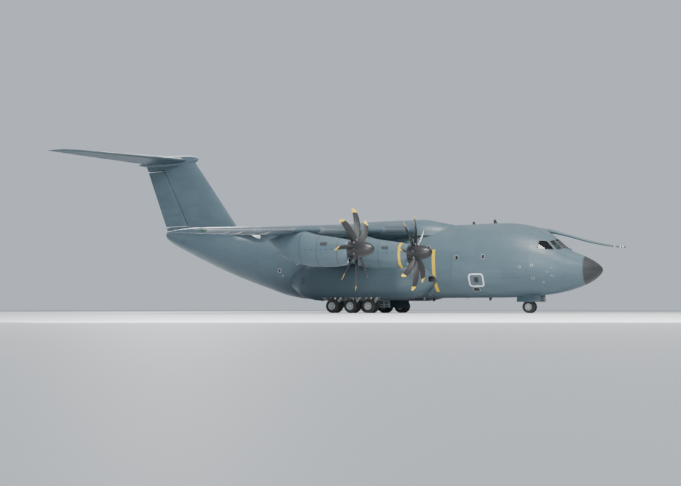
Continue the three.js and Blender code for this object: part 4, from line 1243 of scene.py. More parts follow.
@dataclass
class Nose:
    """Radome, cockpit shell, windscreen, probe and crew door."""

    radome_joint: float = 1.2
    front_joint: float = 7.6
    hollow_from: float = 1.75
    bay_station: Range = (4.25, 6.1)
    bay_half: float = 0.6
    bay_top: float = 1.95
    door_station: Range = (6.35, 7.2)
    door_height: Range = (2.02, 3.95)
    probe_side: float = 0.8
    probe_rows: Outline = (  # station, height, radius
        (-1.5, 4.72, 0.035),
        (-1.46, 4.725, 0.062),
        (-1.32, 4.74, 0.085),
        (-1.1, 4.765, 0.08),
        (-1.0, 4.77, 0.07),
        (0.9, 5.18, 0.1),
        (2.6, 5.72, 0.11),
        (3.7, 6.05, 0.16),
        (4.9, 6.25, 0.17),
        (5.9, 6.34, 0.06),
    )

    def radome(self) -> None:
        """Make the black nose cone with its lightning strips."""
        stations = (np.linspace(0, 1, 30) ** 1.7) * (self.radome_joint - 0.006)
        place(Solid().loft([hull_ring(s) for s in stations]).build("radome_cone", RADOME_COAT), "radome")
        strips = Solid()
        sides = 360
        for turn in np.linspace(0, 2 * math.pi, 8, endpoint=False) + 0.2:
            k = int(turn / (2 * math.pi) * sides)
            rings = []
            for s in np.linspace(0.35, self.radome_joint - 0.03, 9):
                outer, inner = hull_ring(s, -0.004, sides), hull_ring(s, 0.01, sides)
                rings.append([outer[k - 1], outer[k + 1], inner[k + 1], inner[k - 1]])
            strips.loft(rings)
        strips.put("radome_strips", SOOTY_METAL, "radome")

    def shell(self) -> None:
        """Make the cockpit shell with its openings and the nose-wheel bay."""
        shell = hull(self.radome_joint, self.front_joint - 0.001, step=0.1).build("nose_shell", HULL_PAINT)
        hollow = hull(self.hollow_from, self.front_joint + 1, WALL, 0.25).build("cut", LINING)
        door = Solid().prism(square(wider(self.door_station, GAP), wider(self.door_height, GAP), 0.14), 1, 1.0, 3.2)
        holes = [prism for window in WINDOWS for prism in window.prisms(0.0)]
        shaped(shell, [hollow, *(hole.build("cut", SEAL) for hole in (*holes, door))])
        wall = 0.06
        shape = Solid().box(wider(self.bay_station, wall), about(0, self.bay_half + wall), (1.1, self.bay_top + wall))
        tub = shape.build("bay_tub", PRIMER)
        shaped(tub, [hull(self.hollow_from, self.front_joint, 0.02).build("cut")], "INTERSECT")
        shaped(shell, [tub], "UNION")
        cut(shell, PRIMER, Solid().box(self.bay_station, about(0, self.bay_half), (0.8, self.bay_top)))
        place(shell, "fuselage_front")

    def bay_ribs(self) -> None:
        """Make the ribs and pipes inside the nose-wheel bay."""
        ribs = Solid()
        top, half = self.bay_top, self.bay_half
        for s in np.linspace(*wider(self.bay_station, -0.2), 6):
            ribs.box(about(s, 0.02), about(0, half), (top - 0.09, top + 0.01))
            for side in (-1, 1):
                ribs.box(about(s, 0.018), (side * half, side * (half - 0.05)), (1.34, top))
        for y in (-0.4, 0.42):
            start, end = ((s, y, top - 0.13) for s in self.bay_station)
            ribs.tube(start, end, 0.014, 10)
        ribs.put("nose_bay_ribs", PRIMER, "fuselage_front")

    def window_layer(self, name: str, finish: Finish, depths: Range, *edges: float) -> Object:
        """Make a thin layer of the hull's skin where the windows' prisms pass through it.

        Args:
            name: the piece's name.
            finish: what it is made of.
            depths: how far its outer and inner faces lie inside the hull's skin.
            edges: what the windows' outlines are grown by.

        Returns:
            The layer.
        """
        parts = []
        for window in WINDOWS:
            for prism in window.prisms(*edges):
                part = hull(1.5, 4.6, depths[0], 0.08).build(name, finish)
                cut(part, finish, hull(1.3, 4.9, depths[1], 0.08))
                parts.append(kept(part, finish, prism))
        return joined(name, parts)

    def windscreen(self) -> None:
        """Make the panes and the dark frames round them."""
        place(self.window_layer("windscreen_panes", SCREEN_GLASS, (0.05, 0.08), 0.03), "windscreen")
        frames = self.window_layer("windscreen_frames", SEAL, (-0.008, 0.06), -0.02, 0.025)
        place(frames, "fuselage_front", stands=False)

    def wipers(self) -> None:
        """Make the two wipers parked under the front windows."""
        arms = Solid()
        for side in (-1, 1):
            elbow = (2.24, side * 0.3, 4.66)
            arms.tube((2.28, side * 0.16, 4.62), elbow, (0.022, 0.016), 12)
            arms.tube(elbow, (2.5, side * 0.88, 4.68), (0.013, 0.008), 10)
            arms.box((2.2, 2.24), (side * 0.22, side * 0.3), (4.6, 4.68))
        arms.put("wipers", BLACK_PLASTIC, "fuselage_front")

    def probe(self) -> None:
        """Make the refuelling probe and its fairing."""
        rows = Profile(self.probe_rows)
        c, n = circle(32)
        rings = []
        for s in (*np.linspace(-1.5, -1.0, 14), *np.linspace(-0.9, 5.9, 60)):
            z, r = rows(s)
            rings.append(section(s, self.probe_side + r * c, z + r * n))
        place(Solid().loft(rings).build("probe_tube", HULL_PAINT), "refuelling_probe")
        tip = Solid()
        for s, r in ((-1.3, 0.092), (-1.12, 0.088), (-0.72, 0.084)):
            z = float(rows(s)[0])
            tip.tube((s - 0.03, self.probe_side, z - 0.005), (s + 0.03, self.probe_side, z + 0.005), r, 32)
        tip.put("probe_rings", BRIGHT_METAL, "refuelling_probe")

    def door(self) -> None:
        """Make the crew door with its steps and window."""
        node = "crew_door"
        (s0, s1), (z0, z1) = self.door_station, self.door_height
        panel = hull(5.9, 7.6, step=0.08).build("crew_door_panel", HULL_PAINT)
        cut(panel, LINING, hull(5.5, 8.0, WALL, 0.1))
        kept(panel, SEAL, Solid().prism(square(self.door_station, self.door_height, 0.12), 1, 1.2, 3.2))
        place(panel, node, node)
        steps = Solid()
        for z in np.linspace(z0 + 0.3, z1 - 0.35, 5):
            y = hull_side((s0 + s1) / 2, z) - WALL
            steps.box(wider(self.door_station, -0.12), (y - 0.1, y + 0.03), about(z, 0.02))
        steps.put("crew_door_steps", BARE_METAL, node, node)
        skin = flank(1)
        plate_on(skin, (6.98, 7.12), (3.02, 3.1), 0.012).put("crew_door_handle", BARE_METAL, node, node)
        plate_on(skin, (6.66, 6.9), (3.42, 3.7)).put("crew_door_window", DARK_GLASS, node, node)

    def build(self) -> None:
        """Build the whole nose."""
        self.radome()
        self.shell()
        self.bay_ribs()
        self.windscreen()
        self.wipers()
        self.probe()
        self.door()


@dataclass
class FlightDeck:
    """What shows through the windows: instruments, levers and seats."""

    deck_top: float = 4.0
    seat_side: float = 0.72

    def instruments(self) -> None:
        """Make the displays and the levers between the seats."""
        screens, levers = Solid(), Solid()
        for y in (-0.98, -0.58, -0.2, 0.2, 0.58, 0.98):
            screens.box((2.9, 2.925), about(y, 0.16), (4.32, 4.57))
        screens.put("displays", DISPLAY_GLASS, "instrument_panel")
        for y in (-0.12, -0.04, 0.04, 0.12):
            levers.tube((3.4, y, 4.53), (3.34, y, 4.7), 0.012, 10).pin((3.34, y, 4.7), 0.03, 0.024, 12)
        levers.put("throttle_levers", BRIGHT_METAL, "flight_deck")

    def cushion(self, name: str, ranges: Sequence[Range], lean: float) -> Object:
        """Make a crowned cushion.

        Args:
            name: the piece's name.
            ranges: its ranges in station, side and height.
            lean: how far its top stands aft of its bottom.

        Returns:
            The cushion.
        """
        middle = np.array([lerp(a, b, 0.5) for a, b in ranges])
        half = np.array([(b - a) / 2 for a, b in ranges])
        work = bmesh.new()
        bmesh.ops.create_cube(work, size=2.0)
        bmesh.ops.subdivide_edges(work, edges=work.edges, cuts=7, use_grid_fill=True)
        points = []
        for vertex in work.verts:
            u = np.array(vertex.co)
            limit = np.sort(np.abs(u))[::-1]
            pull = 1 - 0.1 * limit[1] ** 2 - 0.06 * limit[2] ** 2 * limit[1]
            crown = 1 + 0.06 * (1 - limit[1] ** 2)
            channel = 1 - 0.05 * math.exp(-((abs(u[1]) - 0.45) ** 2) / 0.004)
            q = u * pull * crown * np.array([channel, 1.0, channel])
            points.append(middle + q * half + np.array([lean * q[2], 0.0, 0.0]))
        faces = [tuple(v.index for v in face.verts) for face in work.faces]
        work.free()
        made = Solid().add(points, faces).build(name, SEAT_CLOTH, sharp=80)
        smooth = made.modifiers.new("smooth", "SUBSURF")
        smooth.levels = smooth.render_levels = 1
        fixed(made)
        made.data.shade_smooth()
        return made

    def seats(self) -> None:
        """Make the two pilots' seats."""
        for word, side in SIDES:
            y, node = side * self.seat_side, f"seat_{word}"
            frame = Solid()
            frame.box((3.72, 4.08), about(y, 0.2), (self.deck_top + 0.002, 4.07))
            frame.box((3.8, 4.0), about(y, 0.12), (4.05, 4.3))
            frame.box((3.63, 4.19), about(y, 0.25), (4.28, 4.32))
            rings = []
            for s, half, z in ((4.19, 0.24, 4.3), (4.33, 0.22, 5.2)):
                rings.append([(a, y + b, z) for a, b in ((s, -half), (s, half), (s + 0.04, half), (s + 0.04, -half))])
            frame.loft(rings)
            for rest in (-0.3, 0.3):
                frame.box((3.75, 4.2), about(y + rest, 0.03), (4.55, 4.6))
                frame.box((4.15, 4.22), about(y + rest, 0.025), (4.3, 4.56))
            place(rounded(frame.build(f"{node}_frame", BLACK_PLASTIC), 0.012), node)
            for part, half, station, height, lean in (
                ("cushion", 0.235, (3.62, 4.16), (4.32, 4.46), 0.0),
                ("back", 0.235, (4.09, 4.23), (4.44, 5.0), 0.055),
                ("headrest", 0.15, (4.2, 4.32), (5.02, 5.24), 0.015),
            ):
                pad = self.cushion(f"{node}_{part}", (station, about(y, half), height), lean)
                place(pad, node, stands=False)

    def build(self) -> None:
        """Build everything on the flight deck."""
        self.instruments()
        self.seats()


@dataclass
class Barrel:
    """Middle of the hull, its floor and the small things on its sides."""

    start: float = 7.6
    end: float = 24.4
    track_sides: Range = (-1.2, -0.55, 0.55, 1.2)
    hatches: Outline = ((9.55, 10.35, 3.3, 4.5), (21.9, 22.7, 4.2, 5.0))  # ranges of station and height
    panels: Outline = (
        (7.75, 8.15, 3.15, 3.45),
        (10.75, 11.1, 2.0, 2.25),
        (5.35, 5.75, 2.3, 2.55),
        (22.9, 23.5, 1.9, 2.2),
    )
    panes: Outline = ((9.95, 4.08), (22.3, 4.68), (7.95, 4.1), (12.2, 4.9), (23.6, 4.1))  # station, height

    def shell(self) -> None:
        """Make the middle shell."""
        shell = hull(self.start, self.end - 0.001, step=0.4).build("barrel_shell", HULL_PAINT)
        place(cut(shell, LINING, hull(self.start - 1, self.end + 1, WALL, 0.4)), "fuselage_centre")

    def frames(self) -> None:
        """Make the frames that show inside the load space."""
        frames = Solid()
        shift = np.array([0.03, 0, 0])
        for s in np.arange(self.start + 0.6, 29.5, 1.2):
            outer, inner = hull_ring(s, WALL - 0.01, 64), hull_ring(s, WALL + 0.075, 64)
            keep = outer[:, 2] > (2.1 if s < 25 else keel(s) + 2.2)
            first = int(np.argmax(keep & ~np.roll(keep, 1)))
            outer, inner, keep = (np.roll(a, -first, 0) for a in (outer, inner, keep))
            frames.loft([[o - shift, i - shift, i + shift, o + shift] for o, i, k in zip(outer, inner, keep) if k])
        frames.put("cabin_frames", LINING, "fuselage_centre")

    def rollers(self) -> None:
        """Make the roller tracks on the floor."""
        tracks = Solid()
        for y in self.track_sides:
            for edge in (-0.08, 0.08):
                tracks.box((7.2, 24.6), about(y + edge, 0.012), (2.001, 2.03))
            for s in np.arange(7.4, 24.5, 0.45):
                tracks.pin((s, y, 2.022), 0.066, 0.018, 8)
        tracks.put("floor_rollers", BARE_METAL, "cargo_floor")

    def markings(self, word: str, skin: Skin) -> None:
        """Make the plain white outline low on a flank, with its small dark window.

        Args:
            word: left or right.
            skin: the flank.
        """
        node = "fuselage_centre"
        line_on(skin, (8.05, 9.1), (1.98, 2.84), 0.2, 0.1, 0.004).put(f"flank_outline_{word}", WHITE_PAINT, node)
        line_on(skin, (8.42, 8.72), (2.24, 2.62), 0.08, 0.03, 0.012).put(f"flank_window_frame_{word}", SEAL, node)
        plate_on(skin, (8.43, 8.71), (2.26, 2.6)).put(f"flank_window_{word}", DARK_GLASS, node)

    def openings(self, word: str, skin: Skin) -> None:
        """Make the emergency hatches, small windows and service panels of a flank.

        Args:
            word: left or right.
            skin: the flank.
        """
        node = "fuselage_centre"
        seams, glass, rims = Solid(), Solid(), Solid()
        for rows, radius, width in ((self.hatches, 0.1, 0.018), (self.panels, 0.05, 0.012)):
            seams.join(line_on(skin, row[:2], row[2:], radius, width) for row in rows)
        seams.put(f"flank_hatch_lines_{word}", SEAL, node)
        for s, z in self.panes:
            glass.join([plate_on(skin, about(s, 0.11), about(z, 0.15))])
            rims.join([line_on(skin, about(s, 0.12), about(z, 0.16), 0.08, 0.035, 0.01)])
        glass.put(f"flank_panes_{word}", DARK_GLASS, node)
        rims.put(f"flank_pane_rims_{word}", BARE_METAL, node)

    def build(self) -> None:
        """Build the middle of the hull."""
        self.shell()
        self.frames()
        self.rollers()
        for word, side in SIDES:
            self.markings(word, flank(side))
            self.openings(word, flank(side))


@dataclass
class Rear:
    """Rear of the hull with ramp, rear door, side doors and tail cone."""

    start: float = 24.4
    end: float = 37.9
    ramp_axis: Range = (25.05, 1.58)
    ramp_radius: float = 0.42
    ramp_end: float = 30.7
    ramp_half: float = 1.85
    ramp_end_thickness: float = 0.3
    door_end: float = 36.7
    lean: float = 0.5
    door_plan: Outline = ((28.5, 1.75), (32.6, 1.75), (34.5, 1.36), (36.7, 0.82))
    side_door: Sequence[Range] = ((24.85, 25.75), (2.15, 4.0))
    cone_end: float = 39.2

    def ramp_space(self, grow: float) -> Solid:
        """Make the ramp's prism, or its larger opening.

        Args:
            grow: how much larger the opening is.

        Returns:
            The prism.
        """
        s, z = self.ramp_axis
        r, half = self.ramp_radius + grow, self.ramp_half + grow
        nose = [(s + r * math.cos(a), z + r * math.sin(a)) for a in np.linspace(math.pi / 2, math.pi * 1.5, 25)]
        end, low = self.ramp_end + grow, keel(self.ramp_end)
        thick = self.ramp_end_thickness
        outline = [(end - self.lean * thick, low + thick + 1.4 * grow), *nose]
        outline += [(s + 1.0, z - self.ramp_radius - 0.6), (end + self.lean, low - 1.0)]
        return Solid().prism(outline, 1, -half, half)

    def door_space(self, grow: float) -> Object:
        """Make the space of the rear door, or its larger opening.

        Args:
            grow: how much larger the opening is.

        Returns:
            The space.
        """
        plan = [(s, y + grow) for s, y in self.door_plan]
        plan[-1] = (plan[-1][0] + grow, plan[-1][1])
        plan += [(s, -y) for s, y in reversed(plan)]
        low, end = keel(self.ramp_end), self.door_end + grow
        start = self.ramp_end + GAP + 0.008 - grow
        tops = [float(HULL(s)[3]) + grow for s in (self.ramp_end, 32.5, 34.5, self.door_end)]
        rise = tops[0] - low
        side = [(start + self.lean, low - 1.0), (start - self.lean * rise, tops[0])]
        side += [(32.5, tops[1]), (34.5, tops[2]), (end, tops[3]), (end, keel(self.door_end) - 1.2)]
        return kept(Solid().prism(plan, 2, 1, 8).build("tool", SEAL), SEAL, Solid().prism(side, 1, -3, 3))

    def shell(self) -> Object:
        """The rear's hollow shell without openings."""
        shell = hull(self.start, self.end - 0.001, step=0.22).build("rear_shell", HULL_PAINT)
        return cut(shell, LINING, hull(self.start - 1, 37.3, WALL, 0.22))

    def side_door_of(self, shell: Object, word: str, side: int) -> None:
        """Cut a side door out of the shell, and make it with its window and handle.

        Args:
            shell: the rear shell.
            word: left or right.
            side: 1 for the left and -1 for the right.
        """
        node, skin = "fuselage_rear", flank(side)
        ends = (side * 1.9, side * 3.2)
        cut(shell, SEAL, Solid().prism(square(*(wider(edge, 0.005) for edge in self.side_door), 0.12), 1, *ends))
        panel = hull(24.41, 26.4, step=0.1).build(f"side_door_panel_{word}", HULL_PAINT)
        cut(panel, LINING, hull(24.0, 27.0, WALL, 0.1))
        place(kept(panel, SEAL, Solid().prism(square(*self.side_door, 0.12), 1, *ends)), f"paratroop_door_{word}")
        plate_on(skin, (25.2, 25.42), (3.3, 3.6)).put(f"side_door_pane_{word}", DARK_GLASS, node)
        rim = line_on(skin, (25.19, 25.43), (3.29, 3.61), 0.07, 0.03, 0.01)
        rim.put(f"side_door_rim_{word}", BARE_METAL, node)
        plate_on(skin, (24.95, 25.1), (3.0, 3.07), 0.012).put(f"side_door_handle_{word}", BARE_METAL, node)

    def hull_and_doors(self) -> None:
        """Make the rear shell, the rear door and the ramp."""
        door = shaped(self.shell(), [self.door_space(0.0)], "INTERSECT")
        cut(door, SEAL, self.ramp_space(GAP))
        door.name = "rear_door_panel"
        place(door, "cargo_door", "cargo_door")
        shell = shaped(self.shell(), [self.ramp_space(GAP).build("tool", SEAL), self.door_space(GAP)])
        for word, side in SIDES:
            self.side_door_of(shell, word, side)
        shell.name = "rear_shell"
        place(shell, "fuselage_rear")
        ramp = hull(24.45, 31.6, step=0.2).build("ramp_body", HULL_PAINT)
        place(kept(ramp, SEAL, self.ramp_space(0.0)), "cargo_ramp", "cargo_ramp")

    def ramp_fittings(self) -> None:
        """Make the treads and side rails on the ramp's upper face."""
        (axis, z0), thick = self.ramp_axis, self.ramp_end_thickness
        low, high = z0 + self.ramp_radius, keel(self.ramp_end) + thick
        run = self.ramp_end - self.lean * thick - axis
        level = lambda s: low + (high - low) * (s - axis) / run
        ends = (axis + 0.5, self.ramp_end - 0.25)
        parts = Solid()
        for y in (-1.2, -0.55, 0.55, 1.2):
            rims = [rectangle(about(y, 0.07), (level(s) + 0.001, level(s) + 0.016)) for s in ends]
            parts.loft([section(s, *np.array(rim).T) for s, rim in zip(ends, rims)])
        for s in np.arange(ends[0] + 0.1, ends[1], 0.32):
            for y in (-0.88, 0.0, 0.88):
                parts.box((s, s + 0.03), about(y, 0.2), (level(s) - 0.01, level(s + 0.03) + 0.012))
        parts.put("ramp_treads", BARE_METAL, "cargo_ramp", "cargo_ramp")

    def cone(self) -> None:
        """Make the rounded end of the hull."""
        rings = [hull_ring(s) for s in np.linspace(self.end, self.cone_end, 14)]
        last, middle = rings[-1], rings[-1].mean(0)
        for turn in np.linspace(0.2, 1.5, 8):
            ring = middle + (last - middle) * math.cos(turn)
            ring[:, 0] = self.cone_end + 0.15 * math.sin(turn)
            rings.append(ring)
        place(Solid().loft(rings).build("tail_cone_skin", HULL_PAINT), "tail_cone")
        Solid().tube((39.3, 0, 7.21), (39.345, 0, 7.21), (0.05, 0.035)).put("tail_lamp", LAMP_GLASS, "tail_cone")

    def build(self) -> None:
        """Build the rear of the hull."""
        self.hull_and_doors()
        self.ramp_fittings()
        self.cone()


@dataclass
class Sponson:
    """Gear housing on one flank."""

    word: str
    side: int
    rows: Outline = (  # station, inner side, outer side, low, high
        (11.8, 2.25, 2.75, 2.2, 2.75),
        (12.3, 1.8, 3.25, 1.65, 3.3),
        (13.2, 1.3, 3.85, 1.16, 3.75),
        (14.5, 1.1, 4.18, 0.96, 3.95),
        (21.3, 1.1, 4.18, 0.96, 3.95),
        (22.6, 1.4, 3.9, 1.2, 3.75),
        (24.0, 2.0, 2.95, 2.0, 3.1),
    )
    bay_station: Range = (15.7, 20.75)
    bay_side: Range = (2.2, 3.82)
    bay_top: float = 2.3
    squareness: float = 3.2
    panels: Outline = (  # ranges of station and height
        (13.2, 13.9, 2.5, 3.1),
        (14.6, 15.4, 2.0, 2.5),
        (16.2, 17.5, 2.75, 3.3),
        (18.4, 19.7, 2.75, 3.3),
        (21.2, 21.9, 2.0, 2.6),
    )

    @property
    def node(self) -> str:
        """The construction node that the housing stands for."""
        return f"sponson_{self.word}"

    def shape(self, station: float) -> tuple[float, float, float, float]:
        """Middle and half size of a section, sideways and upwards."""
        inner, outer, low, high = Profile(self.rows)(station)
        return (inner + outer) / 2, (outer - inner) / 2, (low + high) / 2, (high - low) / 2

    def ring(self, station: float) -> np.ndarray:
        """One section of the left sponson."""
        y, wide, z, tall = self.shape(station)
        c, n = (bulge(value, self.squareness) for value in circle(80))
        return section(station, y + c * wide, z + n * tall)

    def body(self) -> None:
        """Make the housing with its open bay and front intake. The intake's walls and a plate on the hull inside it are
        black, painted shade for a duct that is not built.
        """
        stations = np.linspace(11.8, 24.0, 62)
        rings = [self.ring(s) for s in stations]
        for end, step in ((0, -1), (-1, 1)):
            base, middle = rings[end], rings[end].mean(0)
            for turn in (0.5, 0.95, 1.3, 1.5):
                cap = middle + (base - middle) * math.cos(turn)
                cap[:, 0] = stations[end] + step * 0.16 * math.sin(turn)
                rings.insert(0, cap) if end == 0 else rings.append(cap)
        body = Solid().loft(rings).on(self.side).build(f"sponson_skin_{self.word}", SPONSON_PAINT)
        bay = Solid().box(self.bay_station, self.bay_side, (0.5, self.bay_top)).on(self.side).build("cut", PRIMER)
        # The intake's walls take the black seal finish, and the plate below covers the hull's flank inside the intake
        # in the same black: painted shade for the duct.
        mouth = Solid().prism(square((2.62, 3.05), (2.3, 2.75), 0.12), 0, 11.0, 13.0).on(self.side)
        place(shaped(body, [bay, mouth.build("cut", SEAL)]), self.node)
        shade_plate = plate_on(flank(self.side), (11.7, 12.95), (2.31, 2.74), 0.012)
        shade_plate.put(f"intake_liner_{self.word}", SEAL, self.node)

    def bay(self) -> None:
        """Make the ribs and pipes inside the bay."""
        ribs = Solid()
        for s in np.linspace(*wider(self.bay_station, -0.3), 11):
            ribs.box(about(s, 0.02), self.bay_side, (self.bay_top - 0.08, self.bay_top + 0.01))
            for y in (self.bay_side[0], self.bay_side[1] - 0.06):
                ribs.box(about(s, 0.02), (y, y + 0.06), (1.1, self.bay_top))
        for y, z in ((2.5, 2.16), (2.6, 2.18), (3.6, 2.15)):
            start, end = ((s, y, z) for s in self.bay_station)
            ribs.tube(start, end, 0.016, 10)
        ribs.on(self.side).put(f"main_bay_ribs_{self.word}", PRIMER, self.node)

    def outer(self, s: float, z: float, lift: float) -> Point:
        """The outer side as a surface over station and height."""
        y, wide, middle, tall = self.shape(s)
        return (s, self.side * (y + wide * oval((z - middle) / tall, self.squareness) + lift), z)

    def lower(self, s: float, y: float, lift: float) -> Point:
        """The lower face as a surface over station and side."""
        middle, wide, z, tall = self.shape(s)
        return (s, self.side * y, z - tall * oval((y - middle) / wide, self.squareness) - lift)

    def details(self) -> None:
        """Make the service panels, the vents and the painted stripe."""
        lines = Solid().join(line_on(self.outer, row[:2], row[2:], 0.08, 0.016) for row in self.panels)
        lines.join(line_on(self.lower, about(s, 0.3), (2.35, 2.9), 0.06, 0.016) for s in (13.6, 14.6, 21.6))
        lines.put(f"sponson_panels_{self.word}", SEAL, self.node)
        rows = [(2.3 + k * 0.1, 2.35 + k * 0.1) for k in range(5)]
        vents = Solid().join(plate_on(self.outer, (22.15, 22.55), row, 0.006, 4) for row in rows)
        vents.put(f"sponson_vents_{self.word}", BLACK_PLASTIC, self.node)
        if self.side > 0:
            stripe = plate_on(self.lower, (12.9, 15.5), (2.66, 2.72), steps=20)
            stripe.put("sponson_stripe", WHITE_PAINT, self.node)

    def lamps(self) -> None:
        """Make the landing lamps in the housing's nose."""
        glass, rims = Solid(), Solid()
        for y, z in ((2.2, 2.55), (2.35, 2.15)):
            glass.tube((12.3, y, z), (11.9, y, z), (0.15, 0.13), 32)
            rims.tube((12.3, y, z), (11.96, y, z), (0.18, 0.165), 32)
        rims.on(self.side).put(f"landing_lamp_rims_{self.word}", BARE_METAL, self.node)
        glass.on(self.side).put(f"landing_lamps_{self.word}", LAMP_GLASS, self.node)

    def build(self) -> None:
        """Build the sponson."""
        self.body()
        self.bay()
        self.details()
        self.lamps()


# ---- Wings and tail surfaces ----


def thickness(share: Union[float, np.ndarray], ratio: float) -> Union[float, np.ndarray]:
    """Half thickness of a wing section at a share of its chord, as a share of the chord."""
    curve = 0.2969 * np.sqrt(share) - 0.126 * share - 0.3516 * share**2 + 0.2843 * share**3 - 0.1036 * share**4
    return 5 * ratio * curve + 0.0012


@dataclass
class Surface:
    """A wing, fin or tailplane half, drawn by rows along its span."""

    rows: Outline  # span, station of the leading edge, chord, height of the chord line, thickness ratio
    upright: bool = False

    def at(self, span: float) -> tuple[float, float, float, float]:
        """Leading edge, chord, rise and thickness ratio at a span."""
        table = np.array(self.rows)
        return tuple(float(np.interp(span, table[:, 0], table[:, k])) for k in range(1, 5))

    def tail(self, span: float) -> tuple[float, float]:
        """Station and rise of the trailing edge at a span."""
        lead, chord, rise, _ = self.at(span)
        return lead + chord, rise

    def point(self, station: float, span: float, offset: float) -> Point:
        """Put a point into space."""
        return (station, offset, span) if self.upright else (station, span, offset)

    def skin(self, span: float, share: float, sign: float, lift: float = 0.0) -> Point:
        """A point on the upper or lower skin."""
        lead, chord, rise, ratio = self.at(span)
        return self.point(lead + share * chord, span, rise + sign * (thickness(share, ratio) * chord + lift))

    def ring(self, span: float, thin: float = 1.0, pull: float = 0.0) -> np.ndarray:
        """One section.

        Args:
            span: where it is.
            thin: a factor for its thickness.
            pull: how much of the chord's front and rear is taken off.

        Returns:
            The section's points.
        """
        lead, chord, rise, ratio = self.at(span)
        shares = (1 - np.cos(np.linspace(0, math.pi, 27))) / 2
        points = []
        for sign, order in ((1, shares[::-1]), (-1, shares)):
            for share in order:
                s = lead + chord * (pull + share * (1 - 2 * pull))
                points.append(self.point(s, span, rise + sign * thin * thickness(share, ratio) * chord))
        return np.array(points)

    def body(self, start: float, end: float, tip: float = 0.0) -> Solid:
        """The surface between two spans.

        Args:
            start: the first span.
            end: the last span.
            tip: the length over which its tip is rounded.

        Returns:
            The solid.
        """
        inner = [row[0] for row in self.rows if start < row[0] < end - tip]
        spans = sorted({*inner, *np.linspace(start, end - tip, int((end - start) / 0.6) + 2)})
        rings = [self.ring(v) for v in spans]
        for turn in np.linspace(0.25, 1.45, 7) if tip else ():
            thin = math.cos(turn)
            rings.append(self.ring(end - tip + tip * math.sin(turn), thin, 0.12 * (1 - thin)))
        return Solid().loft(rings)

    def patch(self, spans: Range, shares: Range, sign: int, lift: float = 0.004) -> Solid:
        """A thin plate on the skin.

        Args:
            spans: its first and last span.
            shares: where it starts and ends on the chord.
            sign: 1 for the upper or left skin and -1 for the other.
            lift: how far it stands proud.

        Returns:
            The plate.
        """
        rings = []
        run = np.linspace(*shares, int((shares[1] - shares[0]) * 45) + 5)
        for span in np.linspace(*spans, max(2, int((spans[1] - spans[0]) / 0.3))):
            outer = [self.skin(span, v, sign, lift) for v in run]
            rings.append(outer + [self.skin(span, v, sign, -0.01) for v in run[::-1]])
        return Solid().loft(rings)

    def wicks(self, spans: Iterable[float], drop: float, reach: float = 0.2) -> Solid:
        """Static wicks behind the trailing edge.

        Args:
            spans: where they are.
            drop: how far their ends hang down.
            reach: how far they stand out.

        Returns:
            The wicks.
        """
        rods = Solid()
        for span in spans:
            s, rise = self.tail(span)
            start, end = self.point(s - 0.02, span, rise), self.point(s + reach, span, rise)
            rods.tube(start, (end[0], end[1], end[2] - drop), (0.009, 0.005), 8)
        return rods


@dataclass
class Hinged:
    """A part of a surface that turns about a hinge line between two spans."""

    surface: Surface
    start: float
    end: float
    share: float

    def hinge(self, span: float) -> tuple[float, float, float]:
        """Station, rise and nose radius at a span."""
        lead, chord, rise, ratio = self.surface.at(span)
        return lead + self.share * chord, rise, float(thickness(self.share, ratio)) * chord

    @property
    def spread(self) -> float:
        """How much a circle about the swept hinge line is stretched along the aircraft."""
        return math.hypot(1, (self.hinge(self.end)[0] - self.hinge(self.start)[0]) / (self.end - self.start))

    def body(self) -> Solid:
        """The part itself, with a round nose."""
        rings = []
        for span in np.linspace(self.start, self.end, max(3, int((self.end - self.start) / 0.6))):
            s, rise, radius = self.hinge(span)
            shares = np.linspace(1, self.share, 9)[:-1]
            ring = [self.surface.skin(span, k, 1) for k in shares]
            for angle in np.linspace(math.pi / 2, math.pi * 1.5, 19):
                ahead, up = -math.cos(angle) * radius * self.spread, math.sin(angle) * radius
                ring.append(self.surface.point(s - ahead, span, rise + up))
            rings.append(ring + [self.surface.skin(span, k, -1) for k in shares[::-1]])
        return Solid().loft(rings)

    def bay(self, end_gap: float, low: float = 3.0) -> Solid:
        """The space in which the part moves.

        Args:
            end_gap: the room past both of its ends.
            low: how far down the space reaches.

        Returns:
            The space.
        """
        rings = []
        for span in (self.start - end_gap, self.end + end_gap):
            s, rise, radius = self.hinge(span)
            front = s - radius * self.spread - GAP
            outline = ((front, 3.0), (front + 6, 3.0), (front + 6, -low), (front, -low))
            rings.append([self.surface.point(a, span, rise + b) for a, b in outline])
        return Solid().loft(rings)

    def arms(self, spans: Sequence[float], half: float, end: float, sign: int = -1) -> list[Solid]:
        """Hinge arms that stand on the part.

        Args:
            spans: where they are.
            half: half their width.
            end: where they end on the chord.
            sign: 1 for the upper or left skin and -1 for the other.

        Returns:
            The arms.
        """
        return [self.surface.patch(about(span, half), (self.share + 0.02, end), sign, 0.025) for span in spans]


WING = Surface(
    (
        (0.0, 12.46, 8.72, 6.42, 0.145),
        (2.9, 13.42, 7.88, 6.32, 0.15),
        (9.7, 15.68, 5.9, 5.82, 0.14),
        (15.8, 17.71, 4.12, 5.37, 0.13),
        (20.75, 19.35, 2.68, 5.01, 0.125),
        (21.2, 19.7, 2.35, 4.98, 0.11),
    )
)
FIN = Surface(((6.5, 28.6, 10.7, 0.0, 0.07), (7.35, 31.3, 8.0, 0.0, 0.1), (13.95, 36.35, 5.75, 0.0, 0.1)), upright=True)
TAILPLANE = Surface(
    (
        (0.0, 36.75, 5.25, 14.12, 0.1),
        (8.35, 42.4, 2.29, 14.12, 0.1),
        (9.15, 43.25, 1.7, 14.12, 0.09),
        (9.58, 44.55, 0.53, 14.12, 0.08),
    )
)


